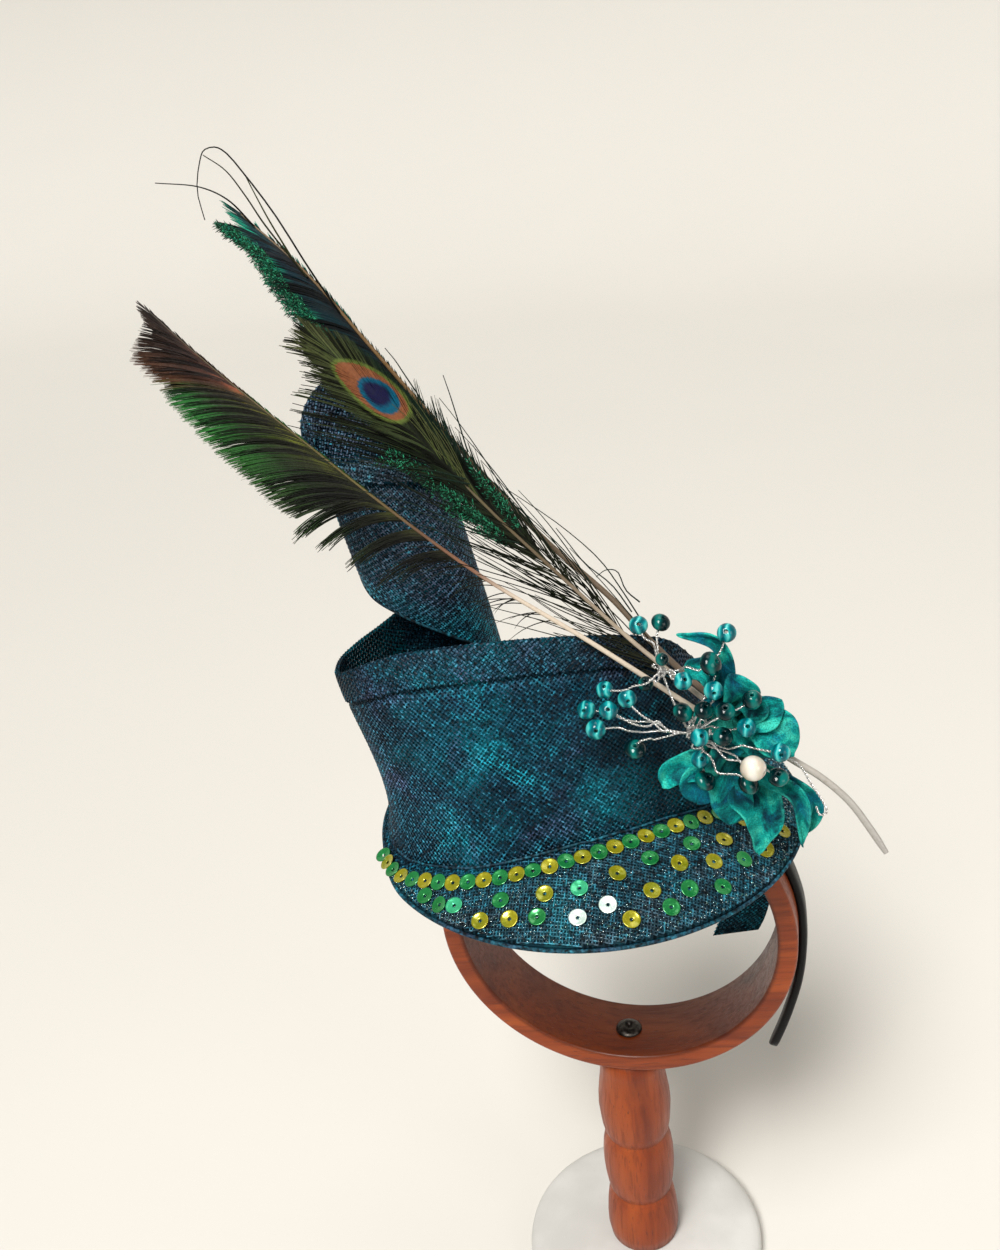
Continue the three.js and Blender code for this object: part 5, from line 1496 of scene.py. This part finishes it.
def quill_material(name, stops):
    made, tree, coords = new_material(name, Coat_Weight=0.25, Coat_Roughness=0.2)
    grain = noise(tree, coords, 700, 3.0)
    base = ramp(tree, value_of(tree, "shaft"), stops)
    return dress(made, mix(tree, spread(tree, grain, 0.45, 0.8, 0, 0.25), base, (0.10, 0.07, 0.05)),
                 spread(tree, grain, 0.3, 0.7, 0.3, 0.5), relief(tree, grain, 0.1, 0.3))


# Barbules

emerald = tinted_material("emerald_barbules", BARBULE_COLOURS, 900, (0.25, 0.45), Metallic=0.5)


def barbules(name, barb_set, keep, count, seed):
    """Short shining barbules set along the barbs, pointing outward from them."""
    rng = np.random.default_rng(seed)
    spots, edges, columns = barb_set
    free = edges[keep(*(columns[key][edges[:, 0]] for key in ("shaft", "out", "across_mm")))]
    pick = free[rng.integers(0, len(free), count)]
    part = rng.uniform(size=(count, 1))
    place = spots[pick[:, 0]] * (1 - part) + spots[pick[:, 1]] * part
    ahead = unit(spots[pick[:, 1]] - spots[pick[:, 0]])
    face = columns["lie"][pick[:, 0]]
    sideways = np.cross(face, ahead) * rng.choice((-1, 1), (count, 1))
    leaf_ring = ((0.2, 0, 0.5), (0, 0.1, 0.5), (-0.2, 0, 0.5), (0, -0.1, 0.5))
    leaf = spindle("barbule", leaf_ring, (0, 0, 0), (0, 0, 1.5))
    facing = unit(ahead * 0.8 + sideways * 0.8 + face * rng.uniform(0, 0.5, (count, 1)))
    return scatter(name, place + face * 0.25, facing, rng.uniform(0.8, 1.4, count),
                   rng.uniform(size=count) ** 1.5, rng.uniform(0, 6, count), leaf, emerald)


def in_tinsel(shaft, out_share, across):
    """Where the barbules shine: round the shaft below the eye, and in a patch at its left."""
    below = (shaft > 0.605) & (shaft < 0.70) & (out_share > 0.25) & (across < 6.5)
    return below | ((shaft < 0.77) & (out_share > 0.5) & (across < -4))


def in_green(shaft, out_share, _):
    return (shaft > 0.66) & (out_share > 0.62)


# Sword feather

sword = feather_line(SWORD_SHAFT)
eye = feather_line(EYE_SHAFT)
green = feather_line(GREEN_SHAFT)
rng = np.random.default_rng(41)
SWORD_HAIRS = 26
SWORD_RIDGE = 170

# The vanes given a low tone lie underneath and are darkened by it as painted shade.
sword_sets = [
    vane(sword, -1, SWORD_EDGE, 300, 7, (0.9, 2.0), 0.46, -0.9, 0.3, reach_share=0.9),
    vane(sword, -1, SWORD_BROWN_EDGE, 110, 8, (0.9, 2.0), 0.46, -0.9, 0.35, reach_share=0.85),
    vane(sword, -1, SWORD_EDGE, 760, 1, (0.9, 2.4), 0.30, 0.5, ragged=0.8),
    vane(sword, -1, SWORD_BROWN_EDGE, 260, 2, (1.2, 3.0), 0.30, 0.7, ragged=1.2, closing=0.25),
    vane(sword, -1, SWORD_TIP_EDGE, 110, 6, (1.5, 3.0), 0.30, 0.5, ragged=0.4),
    clumps(sword, -1, SWORD_CLUMPS, 34, 84, 3, 0.28)]
share = np.sort(rng.uniform(0.28, 0.48, SWORD_HAIRS))
sword_sets.append(barbs(
    sword, share, -1, rng.uniform(10, 22, SWORD_HAIRS), rng.uniform(20, 40, SWORD_HAIRS),
    rng.uniform(10, 60, SWORD_HAIRS), rng.uniform(-1, 2, SWORD_HAIRS), 0.24, 4))
share = np.sort(rng.uniform(0.5, 0.98, SWORD_RIDGE))
sword_sets.append(barbs(sword, share, 1, rng.uniform(2.2, 5.0, SWORD_RIDGE), 9, 4, 0.3, 0.3, 5, points=5))
sword_barb = vane_material("sword_barbs", SWORD_INNER, SWORD_OUTER, 0.36, 0.22)
barb_piece("sword_feather_barbs", sword_sets, sword_barb, ["sword_feather"])
shaft_piece("sword_feather_shaft", sword, ((0, 1.15), (0.3, 0.9), (0.5, 0.62), (0.7, 0.42), (1, 0.22)),
            quill_material("sword_quill", SWORD_QUILL))


# Eye feather

TINSEL = 250
HAIRS = 84
SHAFT_HAIRS = 18
eye_sets = [
    vane(eye, -1, EYE_LEFT_EDGE, 150, 11, (2, 4), 0.5, -0.8, 0.4, reach_share=0.9),
    vane(eye, 1, EYE_RIGHT_EDGE, 190, 12, (2, 4), 0.5, -0.8, 0.4, reach_share=0.9),
    vane(eye, -1, EYE_LEFT_EDGE, 460, 13, (1.2, 3.0), 0.32, 0.4, ragged=1.5, closing=0.3),
    vane(eye, 1, EYE_RIGHT_EDGE, 460, 15, (2.0, 4.0), 0.32, 0.4, ragged=0.35, points=9),
    clumps(eye, -1, EYE_WISPS, 13, 36, 20, 0.36)]
share = np.sort(rng.uniform(0.585, 0.80, TINSEL))
inside, own = locks(eye, share, (4, 8), 16)
side = np.where(rng.uniform(size=TINSEL) < 0.6, -1, 1)
tinsel = barbs(eye, share, side, lookup(share, ((0.585, 24), (0.72, 29), (0.80, 25))) + own * 4,
               lookup(share, ((0.585, 18), (0.80, 34))) + rng.normal(0, 3.5, TINSEL), -5 + 7 * inside,
               own * 1.8, 0.28, 17, 10)
share = np.sort(rng.uniform(0.33, 0.62, HAIRS))
side = np.where(rng.uniform(size=HAIRS) < 0.62, -1, 1)
hairs = barbs(eye, share, side, rng.uniform(26, 74, HAIRS), rng.uniform(8, 24, HAIRS),
              np.where(side < 0, rng.uniform(-16, 12, HAIRS), rng.uniform(-28, -8, HAIRS)),
              rng.uniform(-2, 2, HAIRS), 0.26, 18, 12, 0.5)
share = np.sort(rng.uniform(0.69, 0.78, SHAFT_HAIRS))
shaft_hairs = barbs(eye, share, 1, rng.uniform(18, 36, SHAFT_HAIRS), rng.uniform(10, 30, SHAFT_HAIRS),
                    rng.uniform(-22, -6, SHAFT_HAIRS), rng.uniform(2.0, 5.0, SHAFT_HAIRS), 0.19, 19, 10, 0.4,
                    rng.uniform(0.9, 2.2, SHAFT_HAIRS))
for key, value in (("shaft", 0.99), ("across_mm", 0), ("along_mm", 0)):
    shaft_hairs[2][key][:] = value
eye_sets += [tinsel, hairs, *loose_lines(STRAY_BARBS, 0.33), shaft_hairs]
eye_barb = eye_material("eye_barbs", EYE_SHARE * eye["length"])
barb_piece("eye_feather_barbs", eye_sets, eye_barb, ["eye_feather"])
barbules("eye_feather_barbules", tinsel, in_tinsel, 2100, 61)
eye_radii = ((0, 1.0), (0.02, 1.4), (0.2, 1.4), (0.33, 1.05), (0.5, 0.75), (0.7, 0.55), (0.85, 0.45),
             (1, 0.25))
shaft_piece("eye_feather_shaft", eye, eye_radii, quill_material("eye_quill", EYE_QUILL), 0.70)


# Green feather

GREEN_RIDGE = 150
green_vane = vane(green, -1, GREEN_EDGE, 640, 22, (0.9, 2.2), 0.34, 0.5, ragged=0.8)
green_sets = [
    vane(green, -1, GREEN_EDGE, 300, 24, (0.9, 2.0), 0.6, -0.9, 0.35, reach_share=0.92),
    green_vane,
    vane(green, -1, GREEN_TIP_EDGE, 46, 25, (2, 4), 0.3, 0.5)]
share = np.sort(rng.uniform(0.5, 0.97, GREEN_RIDGE))
green_sets.append(barbs(green, share, 1, rng.uniform(2.4, 4.4, GREEN_RIDGE), 20, 2, 0.2, 0.3, 23, points=5))
green_sets += loose_lines(TIP_FILAMENTS, 0.42, 24)
green_barb = vane_material("green_barbs", GREEN_INNER, GREEN_OUTER, 0.78)
barb_piece("green_feather_barbs", green_sets, green_barb, ["green_feather"])
barbules("green_feather_barbules", green_vane, in_green, 3000, 62)
shaft_piece("green_feather_shaft", green, ((0, 1.3), (0.5, 1.0), (0.8, 0.6), (1, 0.3)),
            quill_material("green_quill", GREEN_QUILL))


# Flowers

def velvet_material():
    made, tree, coords = new_material("teal_velvet", Sheen_Weight=0.12, Sheen_Roughness=0.3, Roughness=0.8,
                                      Sheen_Tint=(0.10, 0.85, 0.75), Specular_IOR_Level=0.15)
    wash = noise(tree, coords, 85, 5.0, 0.9, 0.62)
    other = noise(tree, vector_node(tree, "ADD", coords, (0.2, 0.5, 0.1)), 65, 4.0, 0.6)
    colour = ramp(tree, wash, VELVET_COLOURS)
    colour = mix(tree, spread(tree, other, 0.55, 0.68, 0, 0.7), colour, (0.0, 0.12, 0.21))
    rim = times(tree, spread(tree, value_of(tree, "edge"), 0.84, 1.0, 0, 0.6), spread(tree, other, 0.55, 0.4))
    colour = mix(tree, rim, colour, (0.03, 0.46, 0.36))
    # Painted shade: the petals darken towards their roots, where they crowd into the heart.
    root_painted_shade = spread(tree, value_of(tree, "reach"), 0.42, 0.0, 0.0, 0.75)
    colour = mix(tree, root_painted_shade, colour, (0.0, 0.035, 0.045))
    pile = noise(tree, coords, 2200, 2.0)
    # Painted light and shade: each petal's tone, added to 1, paints it lighter or darker.
    tone = math_node(tree, "ADD", value_of(tree, "tone"), 1.0)
    shade = times(tree, spread(tree, pile, 0.3, 0.7, 0.55, 1.35), tone)
    return dress(made, scaled(tree, colour, shade),
                 normal=relief(tree, math_node(tree, "ADD", pile, wash), 0.35, 0.8))


def petals_mesh(name, petals, seed, rows=18, columns=11):
    """Petals, each crumpled its own way; the later ones get more painted shade."""
    rng = np.random.default_rng(seed)
    verts, faces = [], []
    # Painted light and shade: the first petals are painted a little lighter, the later ones darker.
    tone = np.repeat(np.linspace(0.06, -0.28, len(petals)), rows * columns)
    a, c = np.meshgrid(np.linspace(0, 1, rows), np.linspace(-1, 1, columns), indexing="ij")
    full = 0.26 * (1 - a) ** 2 + np.maximum(1 - np.abs(2 * a ** 0.85 - 1) ** 2.6, 0) ** 0.62
    swell = np.sin(math.pi * a)
    ribs = 0.2 * np.cos(c * math.pi * 3) * swell - 0.8 * np.exp(-(c / 0.16) ** 2) * swell
    for root, middle, tip, width, cup, point in petals:
        line = spline((root, middle, tip), a[:, 0])
        heading = unit(np.gradient(line, axis=0))
        side = unit(np.cross(heading, VIEW_SIDE))
        face = unit(np.cross(side, heading))
        phase = rng.uniform(0, 6.3, 8)
        outline = full * (1 - point * a ** 1.6)
        edge_phase = np.where(c < 0, phase[0], phase[1])
        ruffle = np.sin(a * 8 + edge_phase) * np.abs(c) ** 2.2 * 1.3 * a
        crumple = (0.40 * np.sin(5.1 * a + 2.3 * c + phase[3]) + 0.30 * np.sin(10 * a - 4.1 * c + phase[4])
                   + 0.18 * np.sin(19 * a + 5.5 * c + phase[5])) * a
        rise = 1.5 * cup * c ** 2 * outline + ruffle + ribs + crumple
        wave = 1 + (0.11 * np.sin(a * 7 + edge_phase) + 0.07 * np.sin(a * 15 + 2 * edge_phase)) * np.abs(c)
        half = width * 0.58 * outline * wave
        spots = line[:, None] + side[:, None] * (c * half)[..., None] + face[:, None] * rise[..., None]
        start = len(verts) * a.size
        verts.append(spots.reshape(-1, 3))
        faces += [[i + start for i in quad] for quad in grid_faces(rows, columns)]
    edge = np.tile(np.maximum(np.abs(c), smooth_step((a - 0.8) / 0.2)).ravel(), len(petals))
    reach = np.tile(a.ravel(), len(petals))
    return new_mesh(name, np.vstack(verts), faces=faces, edge=edge, reach=reach, tone=tone)


def ball_mesh(name, centre, radius, sides=24, rows=12):
    profile = [(radius * math.sin(a), -radius * math.cos(a)) for a in np.linspace(0, math.pi, rows)]
    profile[0], profile[-1] = (0, profile[0][1]), (0, profile[-1][1])
    return turned(name, profile, sides, centre)


velvet = velvet_material()
for name, petals, (core, radius, stalk_end), seed in (("flower_upper", UPPER_PETALS, UPPER_CORE, 5),
                                                      ("flower_lower", LOWER_PETALS, LOWER_CORE, 9)):
    blossom = piece(name + "_petals", petals_mesh(name + "_petals", petals, seed), velvet, [name])
    thicken(blossom, PETAL_THICKNESS, 1)
    heart = piece(name + "_heart", ball_mesh(name + "_heart", core, radius), velvet)
    edge_roll(name + "_stalk", np.linspace(core, stalk_end, 12), 1.25, bound_cloth)


# Beads

def bead_shape(hole, rows=16, sides=26):
    """A ball of radius 1 with a hole along Z, its mouth rounded."""
    start = math.asin(hole) + 0.10
    outer = [(math.sin(a), -math.cos(a)) for a in np.linspace(start, math.pi - start, rows)]
    bore = [(hole + 0.02, 0.93), (hole, 0.86), (hole, 0.0), (hole, -0.86), (hole + 0.02, -0.93)]
    return turned("bead", outer + bore, sides)


def bead_material(name, stops, swirl, **constants):
    made, tree, coords = new_material(name, **constants)
    waves = {"Vector": coords, "Scale": swirl, "Distortion": 6.0, "Detail": 2.0, "Detail Scale": 1.2}
    bands = add(tree, "ShaderNodeTexWave", waves).outputs["Fac"]
    polish = noise(tree, coords, 300, 2.0)
    return dress(made, ramp(tree, bands, stops), spread(tree, polish, 0.3, 0.7, 0.06, 0.16))


def bead_piece(name, beads, material, hole, tilt, seed, wide=1.0, high=1.0):
    rng = np.random.default_rng(seed)
    spots = np.array([row[0] for row in beads], float)
    size = np.array([(row[1] * wide, row[1] * wide, row[2] * high) for row in beads])
    facing = unit(np.array(tilt) + rng.normal(0, 0.22, spots.shape))
    return scatter(name, spots, facing, size, rng.uniform(size=len(beads)), rng.uniform(0, 6, len(beads)),
                   bead_shape(hole), material)


shell_finish = bead_material("turquoise_shell", SHELL_COLOURS, 85.0, Coat_Weight=0.25, Coat_Roughness=0.05,
                             Specular_IOR_Level=0.2)
glass_finish = bead_material("dark_teal_glass", GLASS_COLOURS, 45.0, Coat_Weight=0.25, Coat_Roughness=0.03,
                             Specular_IOR_Level=0.15)
pearl_finish = bead_material("cream_pearl", PEARL_COLOURS, 60.0, Coat_Weight=0.5, Coat_Roughness=0.08,
                             Subsurface_Weight=0.15)
shells = bead_piece("shell_beads", SHELL_BEADS, shell_finish, 0.2, VIEW_SIDE, 31, 1.06)
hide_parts(*[f"shell_bead_{i + 1}" for i in range(len(SHELL_BEADS))])
glass = bead_piece("glass_beads", GLASS_BEADS, glass_finish, 0.17, (0.25, -0.4, 0.88), 32,
                   1.14, 0.9)
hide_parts(*[f"glass_bead_{i + 1}" for i in range(len(GLASS_BEADS))])
pearl = bead_piece("pearl_bead", [PEARL], pearl_finish, 0.12, (0.9, -0.3, -0.35), 33)
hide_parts("pearl")


# Wires

def wire_lines():
    """Every wire from its hub to its bead, a little crooked, the coils round the hubs and the stem."""
    rng = np.random.default_rng(52)
    lines = []
    t = np.linspace(0, 1, 20)[:, None]
    for spot, _, _, hub, bow in ALL_BEADS:
        start, end = np.array(HUBS[hub], float), np.array(spot, float)
        near = [other for other, _, _, its_hub, _ in ALL_BEADS
                if its_hub == hub and math.dist(other, spot) < WIRE_SHARING]
        middle = start + (np.mean(near, 0) - start) * 0.6 + np.array((0, bow, 0))
        line = (1 - t) ** 2 * start + 2 * t * (1 - t) * middle + t ** 2 * end
        kinks = spline(rng.normal(0, 1.3, (7, 3)), t[:, 0]) * np.sin(math.pi * t)
        lines.append(line + kinks)
    turn = np.linspace(0, 5 * 2 * math.pi, 70)
    coil = np.stack([1.3 * np.cos(turn), np.linspace(-2, 2, 70), 1.3 * np.sin(turn)], 1)
    lines += [coil + np.array(hub) for hub in HUBS.values()]
    stem = (HUBS["upper"], (37, -56, 366), HUBS["main"], (40, -38, 349), STEM_END)
    return [*lines, spline(stem, np.linspace(0, 1, 30)), spline(WIRE_LOOP, np.linspace(0, 1, 24))]


wires = wire_lines()
wire_starts = np.cumsum([0] + [len(line) for line in wires])
wire_edges = np.vstack([chain(len(line)) + start for line, start in zip(wires, wire_starts)])
wire_base = new_mesh("bead_wires_twisted", np.vstack(wires), edges=wire_edges.tolist())
silver = metal_material("silver_wire", 1.0, 300, 3.0, SILVER_COLOURS, (0.38, 0.18))
twisted = grow("bead_wires_twisted", wire_base, TWIST,
               {"Wire radius": 0.26, "Turns per metre": 360.0, "Step": 0.55, "Sides": 5, "Material": silver})
piece("bead_wires_twisted", twisted, None, ["bead_wires"])
